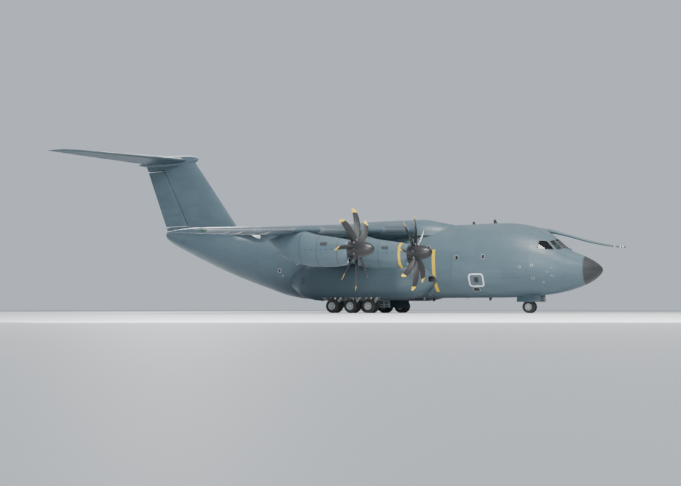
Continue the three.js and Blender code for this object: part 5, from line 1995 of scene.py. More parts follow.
@dataclass
class Flap(Hinged):
    """One flap with its canoe-shaped fairings, given as side and reach ahead of the hinge."""

    name: str
    end_gap: float
    fairings: Outline
    fairing_half: float = 0.14
    droop: float = -0.95 / 12.9
    drop: float = 0.5
    past: float = 0.45

    def axis(self, side: float) -> tuple[float, float]:
        """Station and height of the hinge at a fairing."""
        s, rise, radius = self.hinge(self.start)
        return s - 0.1, rise - radius - self.drop + self.droop * (side - self.start)

    def fairing(self, side: float, rows: Outline, count: int) -> Solid:
        """A canoe-shaped body.

        Args:
            side: its middle.
            rows: station, half-width, top and bottom.
            count: how many sections it has.

        Returns:
            The body.
        """
        shape = Profile(rows)
        angles = np.linspace(0, math.pi, 19)
        rings = []
        for s in np.linspace(rows[0][0], rows[-1][0], count):
            half, top, bottom = shape(s)
            y = side + half * bulge(np.cos(angles), 2.4)
            rings.append(section(s, y, top - (top - bottom) * np.sin(angles) ** 0.75))
        return Solid().loft(rings)

    def front(self, side: float, ahead: float) -> Solid:
        """The fixed half of a fairing.

        Args:
            side: the fairing's middle.
            ahead: how far it reaches ahead of the hinge.

        Returns:
            The half.
        """
        s, z = self.axis(side)
        rise = WING.at(side)[2]
        half, inside = self.fairing_half, rise - 0.05
        rows = (
            (s - ahead, half * 0.12, inside, rise - 0.4),
            (s - ahead * 0.8, half * 0.5, inside, lerp(rise - 0.42, z + 0.22, 0.4)),
            (s - ahead * 0.55, half * 0.8, inside, z + 0.22),
            (s - ahead * 0.15, half, inside, z + 0.03),
            (s - GAP, half, inside, z),
        )
        return self.fairing(side, rows, 22)

    def rear(self, side: float) -> Solid:
        """The half of a fairing that moves with the flap.

        Args:
            side: the fairing's middle.

        Returns:
            The half.
        """
        s, z = self.axis(side)
        z += 0.004
        edge, rise = WING.tail(side)
        half, below, past = self.fairing_half, rise - 0.62, self.past
        rows = (
            (s, half, below + 0.12, z),
            (s + 0.4, half, below + 0.2, z + 0.03),
            (lerp(s, edge, 0.6), half * 0.9, rise - 0.05, lerp(z, rise, 0.38)),
            (edge + past * 0.4, half * 0.45, rise, rise - 0.2),
            (edge + past * 0.85, half * 0.2, rise - 0.02, rise - 0.12),
            (edge + past, half * 0.06, rise - 0.05, rise - 0.09),
        )
        return self.fairing(side, rows, 28)


FLAPS = (
    Flap(WING, 3.15, 9.6, 0.7, "inner", 0.09, ((4.3, 2.2), (8.2, 2.2))),
    Flap(WING, 9.75, 15.7, 0.7, "outer", 0.03, ((11.0, 1.5), (14.2, 1.3))),
)
AILERON = Hinged(WING, 15.85, 20.7, 0.74)
RUDDER = Hinged(FIN, 8.0, 13.3, 0.68)
ELEVATOR = Hinged(TAILPLANE, 0.75, 8.2, 0.7)


@dataclass
class Wing:
    """One half-wing with its flaps and aileron."""

    word: str
    side: int
    lines: Outline = ((16.0, 0.07), (18.1, 0.08), (19.05, 0.04))  # painted lines: span, width
    edges: Sequence[Range] = ((3.2, 6.0), (8.05, 11.9), (14.05, 17.0), (17.05, 20.7))  # spans
    disc_span: float = 20.1
    disc_radius: float = 0.17

    @property
    def node(self) -> str:
        """The construction node that the half-wing stands for."""
        return f"wing_{self.word}"

    def detail(self, name: str, finish: Finish, solids: Iterable[Solid]) -> None:
        """Join solids into a piece on the fixed wing."""
        Solid().join(solids).on(self.side).put(f"{name}_{self.word}", finish, self.node)

    def wing(self) -> None:
        """Make the wing with the bays of its moving parts, and the fixed fairings."""
        wing = WING.body(0.001, 21.2, 0.3).on(self.side).build("wing_skin", WING_PAINT)
        bays = [*(flap.bay(flap.end_gap) for flap in FLAPS), AILERON.bay(0.035)]
        cut(wing, SHADE, *(bay.on(self.side) for bay in bays))
        wing.name = f"wing_skin_{self.word}"
        place(wing, self.node)
        fronts = Solid().join(flap.front(*row) for flap in FLAPS for row in flap.fairings).on(self.side)
        made = fronts.build(f"flap_fairings_{self.word}", PLAIN_PAINT)
        cut(made, SHADE, *(flap.bay(0.0, flap.hinge(flap.start)[2] + GAP).on(self.side) for flap in FLAPS))
        place(made, self.node, stands=False)

    def moving(self) -> None:
        """Make the flaps and the aileron."""
        for flap in FLAPS:
            node = f"flap_{self.word}_{flap.name}"
            place(flap.body().on(self.side).build(f"{node}_skin", WING_PAINT), node, node)
            rears = Solid().join(flap.rear(y) for y, _ in flap.fairings)
            rears.on(self.side).put(f"{node}_fairings", PLAIN_PAINT, node, node)
        node, share = f"aileron_{self.word}", AILERON.share
        place(AILERON.body().on(self.side).build(f"{node}_skin", WING_PAINT), node, node)
        arms = Solid().join(AILERON.arms((16.9, 19.6), 0.06, 0.95))
        arms.on(self.side).put(f"{node}_arms", PLAIN_PAINT, node, node)
        lines = Solid().join(WING.patch(about(y, width / 2), (share + 0.03, 0.97), -1) for y, width in self.lines)
        lines.on(self.side).put(f"{node}_lines", WHITE_PAINT, node, node)

    def leading_edge(self) -> Iterable[Solid]:
        """Yield the bare plates on the leading edge."""
        shares = (0.05, 0.03, 0.012, 0.004)
        for start, end in self.edges:
            rings = []
            for span in np.linspace(start, end, 14):
                lead, _, rise, _ = WING.at(span)
                upper = [WING.skin(span, v, 1, 0.006) for v in shares]
                lower = [WING.skin(span, v, -1, 0.006) for v in shares[::-1]]
                inside = [WING.skin(span, v, -1, -0.01) for v in (*shares, 0.0)]
                inside += [WING.skin(span, v, 1, -0.01) for v in (0.0, *shares[::-1])]
                rings.append([*upper, (lead - 0.006, span, rise), *lower, *inside])
            yield Solid().loft(rings)

    def disc(self) -> Iterable[Solid]:
        """Yield the slices of the plain white disc under the wing."""
        chord, radius = WING.at(self.disc_span)[1], self.disc_radius
        turns = np.linspace(0, math.pi, 13)
        for ends in zip(turns, turns[1:]):
            rows = [(self.disc_span - radius * math.cos(v), radius * math.sin(v) / chord) for v in ends]
            (a, first), (b, second) = rows
            outline = ((a, 0.4 - first), (a, 0.4 + first), (b, 0.4 + second), (b, 0.4 - second))
            yield Solid().loft([[WING.skin(v, share, -1, lift) for v, share in outline] for lift in (-0.01, 0.004)])

    def details(self) -> None:
        """Make edges, spoilers, service panels, painted lines, disc and lamp."""
        self.detail("leading_edge", EDGE_METAL, self.leading_edge())
        starts = [3.4 + k * 1.5 + (0.1 if k > 3 else 0.0) for k in range(8)]
        self.detail("spoilers", WING_PAINT, [WING.patch((v, v + 1.42), (0.565, 0.685), 1, 0.008) for v in starts])
        places = [(4.1 + k * 1.18, share) for k in range(14) for share in (0.2, 0.4)]
        panels = [WING.patch((v, v + 0.42), (share, share + 0.06), -1, 0.005) for v, share in places]
        self.detail("tank_panels", SHADED_WING_PLAIN, panels)
        lines = [WING.patch(about(v, width / 2), (0.02, 0.735), -1, 0.006) for v, width in self.lines]
        self.detail("wing_lines", WHITE_PAINT, lines)
        self.detail("wing_disc", WHITE_PAINT, self.disc())
        rings = [WING.ring(v, 1.02) for v in (20.8, 21.0)]
        front = [ring[(ring[:, 0] < WING.at(20.9)[0] + 0.32)] for ring in rings]
        count = min(len(ring) for ring in front)
        glass = Solid().loft([ring[:count] + np.array([-0.008, 0, 0]) for ring in front])
        self.detail("wingtip_lamp", RED_GLASS if self.side > 0 else GREEN_GLASS, [glass])
        node = f"aileron_{self.word}"
        wicks = WING.wicks(np.linspace(16.2, 20.5, 6), 0.01, 0.22).on(self.side)
        wicks.put(f"{node}_wicks", BLACK_PLASTIC, node, node)

    def build(self) -> None:
        """Build the half-wing."""
        self.wing()
        self.moving()
        self.details()


@dataclass
class Crown:
    """The fairing over the wing joint."""

    base: float = 5.9
    rows: Outline = (  # station, half-width, crown height
        (10.6, 0.9, 6.72),
        (11.8, 1.9, 7.0),
        (13.4, 2.4, 7.3),
        (17.5, 2.45, 7.34),
        (21.0, 2.3, 7.12),
        (23.2, 1.7, 6.92),
        (24.6, 0.8, 6.74),
    )

    def build(self) -> None:
        """Build the fairing."""
        shape = Profile(self.rows)
        angle = np.linspace(0, math.pi, 49)
        rings = []
        for s in np.linspace(10.6, 24.6, 80):
            half, top = shape(s)
            y = np.sign(np.cos(angle)) * np.abs(np.cos(angle)) ** 0.7 * half
            rings.append(section(s, y, self.base + np.sin(angle) ** 0.7 * (top - self.base)))
        body = Solid().loft(rings).build("wing_fairing_skin", HULL_PAINT)
        place(cut(body, LINING, hull(7.6, 27, 0.02, 0.4)), "wing_fairing")


@dataclass
class Engine:
    """One nacelle with its propeller."""

    name: str
    side: float
    hub: float
    tip: float
    hand: int
    spinner_length: float = 1.7
    blade_count: int = 8
    blade_plane: float = 1.28
    yellow_from: float = 2.4
    rows: Outline = (  # distance aft of the propeller's back plate, half-width, height above and below the hub
        (0.03, 0.6, 0.6, 0.92),
        (0.35, 0.72, 0.68, 1.02),
        (1.2, 0.88, 0.84, 1.1),
        (2.6, 0.92, 1.1, 1.05),
        (3.9, 0.86, 1.5, 0.84),
        (4.9, 0.7, 1.6, 0.4),
        (5.7, 0.46, 1.6, -0.25),
        (6.3, 0.16, 1.58, -0.8),
    )
    spinner_rows: Outline = (  # distance aft of the tip, radius
        (0.0, 0.0),
        (0.06, 0.16),
        (0.22, 0.31),
        (0.5, 0.44),
        (0.9, 0.52),
        (1.3, 0.55),
        (1.7, 0.56),
    )
    blade_rows: Outline = (  # radius, chord, thickness, pitch in degrees, sweep
        (0.4, 0.26, 0.12, 68, 0.0),
        (0.8, 0.36, 0.085, 62, -0.05),
        (1.4, 0.44, 0.055, 53, -0.07),
        (2.0, 0.42, 0.04, 45, 0.0),
        (2.42, 0.32, 0.028, 40, 0.12),
        (2.665, 0.12, 0.015, 38, 0.27),
    )
    cuff_rows: Outline = ((0.4, 0.15), (0.5, 0.155), (0.58, 0.15), (0.64, 0.115), (0.68, 0.07))  # distance, radius

    @property
    def back(self) -> float:
        """Station of the propeller's back plate."""
        return self.tip + self.spinner_length

    @property
    def node(self) -> str:
        """The construction node of the nacelle."""
        return f"nacelle_{self.name}"

    def ring(self, aft: float, grow: float, sides: int) -> np.ndarray:
        """One section of the nacelle.

        Args:
            aft: where it is behind the back plate.
            grow: how much larger than the skin it is.
            sides: how many points it has.

        Returns:
            The section's points.
        """
        half, up, down = Profile(self.rows)(aft)
        c, n = (bulge(value, 2.3) for value in circle(sides))
        height = self.hub + (up - down) / 2 + n * ((up + down) / 2 + grow)
        return section(self.back + aft, self.side + c * (half + grow), height)

    def skin(self, grow: float = 0.0) -> Solid:
        """The nacelle's outer skin, without its openings."""
        rings = [self.ring(aft, grow, 72) for aft in np.linspace(self.rows[0][0], self.rows[-1][0], 56)]
        middle = rings[0].mean(0)
        lip = middle + (rings[0] - middle) * 0.965
        lip[:, 0] -= 0.03
        return Solid().loft([lip, *rings])

    def nacelle(self) -> None:
        """Make the nacelle with its intake and exhaust."""
        back, y, hub = self.back, self.side, self.hub
        inner = abs(self.side) < 10
        bands = (Band(YELLOW, station=(back + 0.42, back + 0.6)),) if inner else ()
        paint = Paint(f"nacelle_paint_{'inner' if inner else 'outer'}", wrap=Wrap.NONE, bands=bands, grime=0.9)
        body = self.skin().build(f"nacelle_skin_{self.name}", paint)
        mouth = square(about(y, 0.36), (hub - 0.86, hub - 0.6), 0.11)
        start, end = (back + 3.75, y, hub - 0.1), (back + 6.35, y, hub - 0.3)
        bore = Solid().tube(start, (end[0] + 0.1, y, end[2]), 0.262, 40)
        cut(body, SOOTY_METAL, Solid().prism(mouth, 0, back - 0.2, back + 0.8), Solid().tube(start, end, 0.3, 40))
        place(body, self.node)
        lip = ((-0.035, back + 0.12), (-0.02, back - 0.035), (0.01, back - 0.035), (0.012, back + 0.12))
        rings = [np.insert(grown(mouth, by), 0, s, axis=1) for by, s in lip]
        Solid().loft(rings, hoop=True).put(f"intake_lip_{self.name}", BARE_METAL, self.node)
        pipe = Solid().tube(start, end, 0.296, 40).build(f"exhaust_pipe_{self.name}", SOOTY_METAL)
        kept(cut(pipe, SOOTY_METAL, bore), SOOTY_METAL, self.skin(0.02))
        place(pipe, self.node, stands=False)
        rim = self.skin(0.035).build(f"exhaust_rim_{self.name}", EXHAUST_METAL)
        cut(rim, SOOTY_METAL, self.skin(-0.03))
        ring = cut(Solid().tube(start, end, 0.33, 40).build("tool", EXHAUST_METAL), SOOTY_METAL, bore)
        place(shaped(rim, [ring], "INTERSECT"), self.node, stands=False)

    def cowling(self) -> None:
        """Make the cowling joints, latches and vents that stand a little proud."""
        parts = Solid()
        width = 0.02
        for aft in (0.62, 2.05, 3.35):
            corner = ((-width, -0.01), (-width, 0.005), (width, 0.005), (width, -0.01))
            parts.loft([self.ring(aft + offset, grow, 96) for offset, grow in corner], hoop=True)
        latches = [(about(aft, 0.06), aft, 0.03, 0.008, (-0.03, 0.02)) for aft in (0.95, 1.35, 1.75, 2.4, 2.8)]
        vents = [((s, s + 0.05), 1.55, 0.05, 0.012, (0.28, 0.48)) for s in 1.3 + np.arange(4) * 0.13]
        for side in (-1, 1):
            for run, aft, inside, outside, height in latches + vents:
                half = Profile(self.rows)(aft)[0]
                across = [self.side + side * v for v in (half - inside, half + outside)]
                parts.box([self.back + s for s in run], across, [self.hub + z for z in height])
        parts.put(f"cowling_joints_{self.name}", SEAL, self.node)

    def spinner(self) -> Solid:
        """The propeller's hub cap."""
        profile = Profile(self.spinner_rows, root=True)
        c, n = circle(72)
        rings = []
        for aft in np.linspace(0.03, 1, 26) ** 2 * (self.spinner_length - 0.02):
            r = float(profile(aft)[0])
            rings.append(section(self.tip + aft, self.side + r * c, self.hub + r * n))
        return Solid().loft(rings)

    def blade_ring(self, radius: float) -> list[Point]:
        """One section of a blade, before it is turned about the hub.

        Args:
            radius: its distance from the hub's middle.

        Returns:
            The section's points as distances ahead, sideways and outwards.
        """
        chord, thick, pitch, sweep = Profile(self.blade_rows)(radius)
        angle = math.radians(pitch)
        ring = []
        for t in np.linspace(0, 2 * math.pi, 24, endpoint=False):
            u = 0.5 * math.cos(t) * chord - sweep
            v = 0.5 * math.sin(t) * (0.62 + 0.38 * math.cos(t)) * 1.25 * thick
            across = (u * math.cos(angle) - v * math.sin(angle)) * self.hand
            ring.append((u * math.sin(angle) + v * math.cos(angle), across, radius))
        return ring

    def propeller(self) -> None:
        """Make the spinner and the swept blades."""
        station = self.tip + self.blade_plane
        blade = [self.blade_ring(radius) for radius in (*np.linspace(0.42, 2.3, 20), *np.linspace(2.36, 2.66, 9))]
        turn = np.linspace(0, 2 * math.pi, 24, endpoint=False)
        cuff = [[(r * math.cos(t), r * 0.9 * math.sin(t) * self.hand, far) for t in turn] for far, r in self.cuff_rows]
        spinner = self.spinner().build("spinner", BLADE_COAT)
        blades, cuffs = Solid(), Solid()
        for k in range(self.blade_count):
            c, n = (f(k * 2 * math.pi / self.blade_count) for f in (math.cos, math.sin))
            for whole, rings in ((blades, blade), (cuffs, cuff)):
                placed = []
                for ring in rings:
                    turned = [(station - x, self.side + y * c - z * n, self.hub + y * n + z * c) for x, y, z in ring]
                    placed.append(turned)
                whole.loft(placed)
        made = blades.build("blades", BLADE_COAT, TIP_YELLOW)
        centre = Vector(spots([(station, self.side, self.hub)])[0])
        for face in made.data.polygons:
            away = (face.center - centre) / SCALE
            face.material_index = int(math.hypot(away.y, away.z) > self.yellow_from)
        node = f"propeller_{self.name}"
        place(joined(f"{node}_blades", [made, spinner, cuffs.build("cuffs", BLADE_COAT)]), node, node)

    def build(self) -> None:
        """Build the engine."""
        self.nacelle()
        self.cowling()
        self.propeller()


ENGINES = (
    Engine("left_inner", 7.0, 4.25, 10.25, 1),
    Engine("left_outer", 13.0, 4.15, 11.9, -1),
    Engine("right_inner", -7.0, 4.25, 10.25, -1),
    Engine("right_outer", -13.0, 4.15, 11.9, 1),
)
COATS = {  # construction nodes that stay in view
    "flight_deck": LINING,
    "instrument_panel": BLACK_PLASTIC,
    "cargo_floor": LINING,
    **{f"engine_{engine.name}": SOOTY_METAL for engine in ENGINES},
}


@dataclass
class Tail:
    """Fin, rudder, tailplane and elevators."""

    bullet_z: float = 14.14
    bullet_rows: Outline = (  # station, radius
        (35.9, 0.03),
        (36.3, 0.27),
        (37.2, 0.43),
        (39.0, 0.52),
        (41.0, 0.42),
        (42.3, 0.22),
        (43.05, 0.04),
    )

    def fin(self) -> None:
        """Make the fin and the rudder."""
        end_gap = 0.12
        fin = FIN.body(6.9, 13.95).build("fin_skin", TAIL_PAINT)
        corner = Solid().box((39.1, 39.6), about(0, 0.4), (6.4, 7.2)).build("cut", TAIL_PAINT)
        place(shaped(fin, [RUDDER.bay(end_gap).build("cut", SHADE), corner]), "fin")
        seals = Solid()
        for z, low, high, reach in (
            (RUDDER.start - end_gap, -0.02, 0.06, 2.2),
            (RUDDER.end + end_gap, -0.06, 0.02, 1.7),
        ):
            s = RUDDER.hinge(z)[0]
            seals.box((s - 0.2, s + reach), about(0, 0.01), (z + low, z + high))
        seals.put("rudder_gap_seals", SEAL, "fin")
        place(RUDDER.body().build("rudder_skin", TAIL_PAINT), "rudder", "rudder")
        wicks = FIN.wicks(np.linspace(8.6, 13.0, 5), 0.01)
        for z in (9.1, 12.4):
            for sign in (-1, 1):
                wicks.join(RUDDER.arms((z,), 0.06, 0.93, sign))
        wicks.put("rudder_arms_and_wicks", PLAIN_PAINT, "rudder", "rudder")

    def plane(self) -> None:
        """Make the tailplane, its centre fairing and the elevators."""
        halves = []
        for word, side in SIDES:
            half = TAILPLANE.body(0.0005, 9.58, 0.12).on(side).build("half", WING_PAINT)
            halves.append(cut(half, SHADE, ELEVATOR.bay(0.09).on(side)))
            node = f"elevator_{word}"
            place(ELEVATOR.body().on(side).build(f"{node}_skin", WING_PAINT), node, node)
            wicks = TAILPLANE.wicks(np.linspace(4.5, 8.0, 4), 0.0).join(ELEVATOR.arms((2.2, 5.0, 6.8), 0.05, 0.93))
            wicks.on(side).put(f"{node}_arms_and_wicks", SHADED_WING_PLAIN, node, node)
        shape = Profile(self.bullet_rows)
        c, n = circle(56)
        rings = []
        for s in np.linspace(35.9, 43.05, 60):
            r = float(shape(s)[0])
            rings.append(section(s, r * c, self.bullet_z + r * n))
        halves.append(Solid().loft(rings).build("bullet", PLAIN_PAINT))
        place(joined("tailplane_skin", halves), "tailplane")
        lamp = Solid().tube((42.98, 0, self.bullet_z), (43.03, 0, self.bullet_z), (0.055, 0.045))
        lamp.put("tailplane_lamp", RED_GLASS, "tailplane")

    def build(self) -> None:
        """Build the tail."""
        self.fin()
        self.plane()


# ---- Landing gear ----


@dataclass
class Wheels:
    """A pair of wheels on one axle that stands its own radius above the ground."""

    node: str
    station: float
    side: float
    radius: float
    width: float
    twin: float
    disc: Outline = (  # outer face of the rim: shares of the half-width and of the radius
        (0.34, 0.13),
        (0.36, 0.16),
        (0.5, 0.3),
        (0.56, 0.42),
        (0.7, 0.46),
        (0.86, 0.5),
        (0.92, 0.535),
        (0.82, 0.56),
        (0.6, 0.53),
    )
    dish: Outline = ((0.6, 0.53), (0.82, 0.56), (0.92, 0.535), (0.86, 0.5), (0.4, 0.44), (0.2, 0.3), (0.2, 0.13))
    cap: Outline = ((0.3, 0.15), (0.62, 0.15), (0.72, 0.12), (0.74, 0.02), (0.3, 0.02))

    def tyre(self, middle: float) -> Outline:
        """The cross-section of a grooved tyre.

        Args:
            middle: the tyre's middle on the axle.

        Returns:
            Rows of offset and radius.
        """
        half, top = self.width / 2, self.radius
        rim = top * 0.52
        shape = [(-half * 0.62, rim), (-half * 0.8, rim + 0.02)]
        shape += [(-half * a, lerp(rim, top, b)) for a, b in ((0.97, 0.35), (1.0, 0.6), (0.95, 0.82))]
        shape += [(-half * 0.8, top * 0.975), (-half * 0.66, top * 0.995)]
        wall = list(shape)
        for k in (-1.5, -0.5, 0.5, 1.5):
            x = k * half * 0.36
            shape += [(x + w, r) for w, r in ((-0.01, top), (-0.008, top - 0.014), (0.008, top - 0.014), (0.01, top))]
        return [(middle + x, r) for x, r in shape + [(-x, r) for x, r in wall[::-1]]]

    def build(self) -> None:
        """Make tyres, rims with bolts, hub caps and the axle."""
        r, half = self.radius, self.width / 2
        middle = (self.station, self.side, r)
        tyres, rims, bolts = Solid(), Solid(), Solid()
        for hand in (-1, 1):
            offset = hand * self.twin / 2
            tyres.turned(middle, self.tyre(offset), 96)
            rim = [(offset + hand * half * a, r * b) for a, b in self.disc]
            rim += [(offset - hand * half * a, r * b) for a, b in self.dish]
            rims.turned(middle, rim[::hand], 72)
            bolts.turned(middle, [(offset + hand * half * a, r * b) for a, b in self.cap][::hand], 40)
            for k in range(12):
                turn = k * math.pi / 6
                s, z = self.station + r * 0.39 * math.cos(turn), r + r * 0.39 * math.sin(turn)
                y = self.side + offset + hand * half * 0.5
                bolts.tube((s, y, z), (s, y + hand * half * 0.14, z), 0.016, 6)
        bolts.pin(middle, self.twin / 2 + self.width * 0.2, 0.06, 32)
        parts = [
            tyres.build("tyres", TYRE_RUBBER, sharp=40),
            rims.build("rims", LEG_PAINT),
            bolts.build("bolts", BARE_METAL),
        ]
        place(joined(f"{self.node}_assembly", parts), self.node, self.node)


@dataclass
class GearParts:
    """Painted, bare and dark parts of a leg, collected before they become one piece."""

    paint: Solid = field(default_factory=Solid)
    bare: Solid = field(default_factory=Solid)
    dark: Solid = field(default_factory=Solid)

    def build(self, name: str, width: float, *others: Callable[[], Object]) -> Object:
        """Make one object of all parts.

        Args:
            name: the object's name.
            width: how much the painted parts' edges are rounded.
            others: make more objects that are joined in.

        Returns:
            The object.
        """
        pieces = [rounded(self.paint.build("paint", LEG_PAINT), width), *(make() for make in others)]
        pieces.append(self.bare.build("bare", BRIGHT_METAL))
        if self.dark.points:
            pieces.append(self.dark.build("dark", BLACK_PLASTIC))
        return joined(name, pieces)


@dataclass
class MainGear:
    """Three twin-wheel legs under one sponson."""

    word: str
    side: int
    stations: Range = (16.85, 18.4, 20.0)
    y: float = 3.1
    radius: float = 0.545 * math.cos(math.pi / 18)
    width: float = 0.4
    twin: float = 0.65
    barrel: Outline = (  # share of the strut's length, radius
        (0.0, 0.118),
        (0.05, 0.118),
        (0.07, 0.1),
        (0.2, 0.1),
        (0.22, 0.112),
        (0.3, 0.112),
        (0.32, 0.1),
        (0.93, 0.1),
        (0.95, 0.115),
        (1.0, 0.115),
    )

    def beam(self) -> Object:
        """Make the beam that the legs hang from."""
        low, high = 2.08, 2.3
        beam = Solid().box((16.05, 20.35), about(self.y, 0.1), (low, high)).build("beam", LEG_PAINT)
        pockets = Solid()
        for k in range(9):
            s = 16.15 + k * 0.46
            for hand in (-1, 1):
                across = (self.y + hand * 0.06, self.y + hand * 0.2)
                pockets.box((s, s + 0.38), across, (low + 0.045, high - 0.045))
        return rounded(cut(beam, LEG_PAINT, pockets), 0.006)

    def arm(self, s: float, parts: GearParts) -> None:
        """Add a leg's pivot and trailing arm.

        Args:
            s: the station of its axle.
            parts: where they are added.
        """
        y, axle, paint = self.y, self.radius, parts.paint
        a, z = s - 0.62, 1.2
        plate = [(a - 0.17, 2.1), (a - 0.1, 1.14), (a, 1.08), (a + 0.1, 1.14), (a + 0.2, 2.1)]
        for hand in (-1, 1):
            paint.prism(corners(plate, 0.05), 1, y + hand * 0.08, y + hand * 0.105)
        paint.box((a - 0.14, a + 0.17), about(y, 0.09), (1.9, 2.1))
        parts.bare.pin((a, y, z), 0.13, 0.055)
        arm = [(a - 0.1, z + 0.02), (a - 0.02, z + 0.1), (s - 0.2, axle + 0.42), (s + 0.06, axle + 0.16)]
        arm += [(s + 0.13, axle), (s + 0.04, axle - 0.13), (s - 0.14, axle - 0.1), (a - 0.02, z - 0.12)]
        paint.prism(corners(arm, 0.05), 1, *about(y, 0.075))
        paint.pin((s - 0.1, y, axle + 0.36), 0.085, 0.075, 28)

    def strut(self, s: float, parts: GearParts) -> None:
        """Add a leg's shock strut.

        Args:
            s: the station of its axle.
            parts: where it is added.
        """
        y, axle, paint, bare = self.y, self.radius, parts.paint, parts.bare
        bare.tube((s - 0.12, y, axle + 0.2), (s - 0.02, y, 1.36), 0.062, 32)
        bare.pin((s - 0.12, y, axle + 0.3), 0.1, 0.035, 20)
        start, end = np.array([s - 0.03, y, 1.24]), np.array([s + 0.02, y, 2.2])
        for (a, near), (b, far) in zip(self.barrel, self.barrel[1:]):
            paint.tube(start + (end - start) * a, start + (end - start) * b, (near, far), 36)
        parts.dark.tube(start - np.array([0, 0, 0.03]), start + np.array([0, 0, 0.01]), (0.075, 0.1), 32)
        paint.box((s - 0.14, s + 0.18), about(y, 0.11), (2.06, 2.14))

    def brakes(self, s: float, parts: GearParts) -> None:
        """Add a leg's brakes with their hoses, and its axle.

        Args:
            s: the station of its axle.
            parts: where they are added.
        """
        y, axle, dark = self.y, self.radius, parts.dark
        hose = [(0.1, 0.06, 2.05), (0.13, 0.07, 1.6), (0.12, 0.08, 1.15)]
        hose += [(0.02, 0.085, 0.98), (-0.02, 0.085, axle + 0.12)]
        for hand in (-1, 1):
            run = [(s + aft, y + hand * out, z) for aft, out, z in hose]
            for ends in zip(run, run[1:]):
                dark.tube(*ends, 0.012, 10)
            for z in (1.95, 1.55, 1.3):
                dark.box((s + 0.07, s + 0.15), (y + hand * 0.04, y + hand * 0.09), about(z, 0.012))
            inner, middle, outer = ((s, y + hand * out, axle) for out in (0.08, 0.13, 0.155))
            parts.bare.tube(inner, middle, (0.21, 0.2), 40)
            dark.tube(middle, outer, 0.17, 40)
        parts.paint.pin((s, y, axle), 0.12, 0.13, 32)

    def build(self) -> None:
        """Build the legs and their wheels."""
        parts = GearParts()
        for s in self.stations:
            self.arm(s, parts)
            self.strut(s, parts)
            self.brakes(s, parts)
        legs = parts.build(f"main_legs_{self.word}", 0.005, self.beam)
        if self.side < 0:
            legs.data.transform(Matrix.Scale(-1, 4, (0, 1, 0)))
            legs.data.flip_normals()
        place(legs, f"main_gear_legs_{self.word}")
        for k, s in enumerate(self.stations, 1):
            node = f"main_wheels_{self.word}_{k}"
            Wheels(node, s, self.side * self.y, self.radius, self.width, self.twin).build()


@dataclass
class NoseGear:
    """The steered twin-wheel nose leg."""

    station: float = 5.3
    radius: float = 0.465 * math.cos(math.pi / 18)
    width: float = 0.32
    twin: float = 0.56

    def leg(self) -> None:
        """Make the fixed leg with its brace and steering jacks."""
        s, parts = self.station, GearParts()
        paint, bare = parts.paint, parts.bare
        paint.tube((s, 0, 1.07), (s, 0, 1.9), 0.12, 48)
        for z, r in ((1.07, 0.135), (1.22, 0.135), (1.52, 0.132), (1.75, 0.15)):
            paint.tube((s, 0, z), (s, 0, z + 0.05), r, 48)
        paint.box(about(s, 0.22), about(0, 0.58), (1.8, 1.93))
        for hand in (-1, 1):
            rib = [(0.1 * hand, 1.55), (0.5 * hand, 1.82), (0.1 * hand, 1.82)]
            paint.prism(rib[::hand], 0, *about(s, 0.03))
            paint.tube((s - 0.02, hand * 0.13, 1.14), (s - 0.02, hand * 0.24, 1.14), 0.05)
            bare.tube((s - 0.08, hand * 0.19, 1.14), (s - 0.2, hand * 0.17, 1.14), 0.028, 20)
            paint.tube((s + 0.02, hand * 0.2, 1.14), (s + 0.2, hand * 0.2, 1.14), 0.048, 28)
            parts.dark.tube((s + 0.06, hand * 0.08, 1.2), (s + 0.08, hand * 0.08, 1.78), 0.012, 10)
        paint.tube((s - 0.95, 0, 1.82), (s - 0.5, 0, 1.56), 0.055, 28)
        bare.tube((s - 0.52, 0, 1.57), (s - 0.08, 0, 1.3), 0.036, 28)
        paint.pin((s - 0.12, 0, 1.3), 0.07, 0.06)
        place(parts.build("nose_leg", 0.004), "nose_gear_leg")

    def lamps(self) -> None:
        """Make the taxi lamps on the leg."""
        s, z = self.station, 1.48
        rims, glass = Solid(), Solid()
        for hand in (-1, 1):
            y = hand * 0.22
            rims.tube((s - 0.13, y, z), (s - 0.02, y, z), (0.1, 0.06), 32)
            rims.box((s - 0.06, s - 0.02), (hand * 0.1, y), about(z, 0.02))
            glass.tube((s - 0.155, y, z), (s - 0.12, y, z), (0.075, 0.09), 32)
        rims.put("taxi_lamp_rims", BARE_METAL, "nose_gear_leg")
        glass.put("taxi_lamps", LAMP_GLASS, "nose_gear_leg")

    def fork(self) -> None:
        """Make the steered part: collar, chrome piston, torque links and axle eye."""
        s, axle, parts = self.station, self.radius, GearParts()
        paint, bare = parts.paint, parts.bare
        bare.tube((s, 0, axle + 0.1), (s, 0, 1.0), 0.085, 48)
        paint.tube((s, 0, 0.93), (s, 0, 1.058), 0.145, 48)
        paint.pin((s, 0, axle), 0.1, 0.145, 40)
        paint.box(about(s, 0.1), about(0, 0.085), (axle, axle + 0.16))
        knee = np.array([s + 0.27, 0.78])
        for top, bottom in ((np.array([s + 0.1, 0.99]), knee), (knee, np.array([s + 0.08, axle + 0.08]))):
            run = bottom - top
            across = np.array([-run[1], run[0]]) / np.hypot(*run) * 0.026
            outline = [top + across, top - across, bottom - across * 0.7, bottom + across * 0.7]
            for hand in (-1, 1):
                paint.prism(outline, 1, hand * 0.02, hand * 0.06)
        bare.pin((knee[0], 0, knee[1]), 0.075, 0.022, 20)
        bare.pin((s - 0.16, 0, axle + 0.05), 0.05, 0.03, 20)
        paint.box((s - 0.17, s - 0.08), about(0, 0.03), (axle + 0.02, axle + 0.08))
        place(parts.build("nose_fork", 0.004), "nose_gear_fork", "nose_gear_fork")

    def build(self) -> None:
        """Build the nose gear."""
        self.leg()
        self.lamps()
        self.fork()
        Wheels("nose_wheels", self.station, 0.0, self.radius, self.width, self.twin).build()


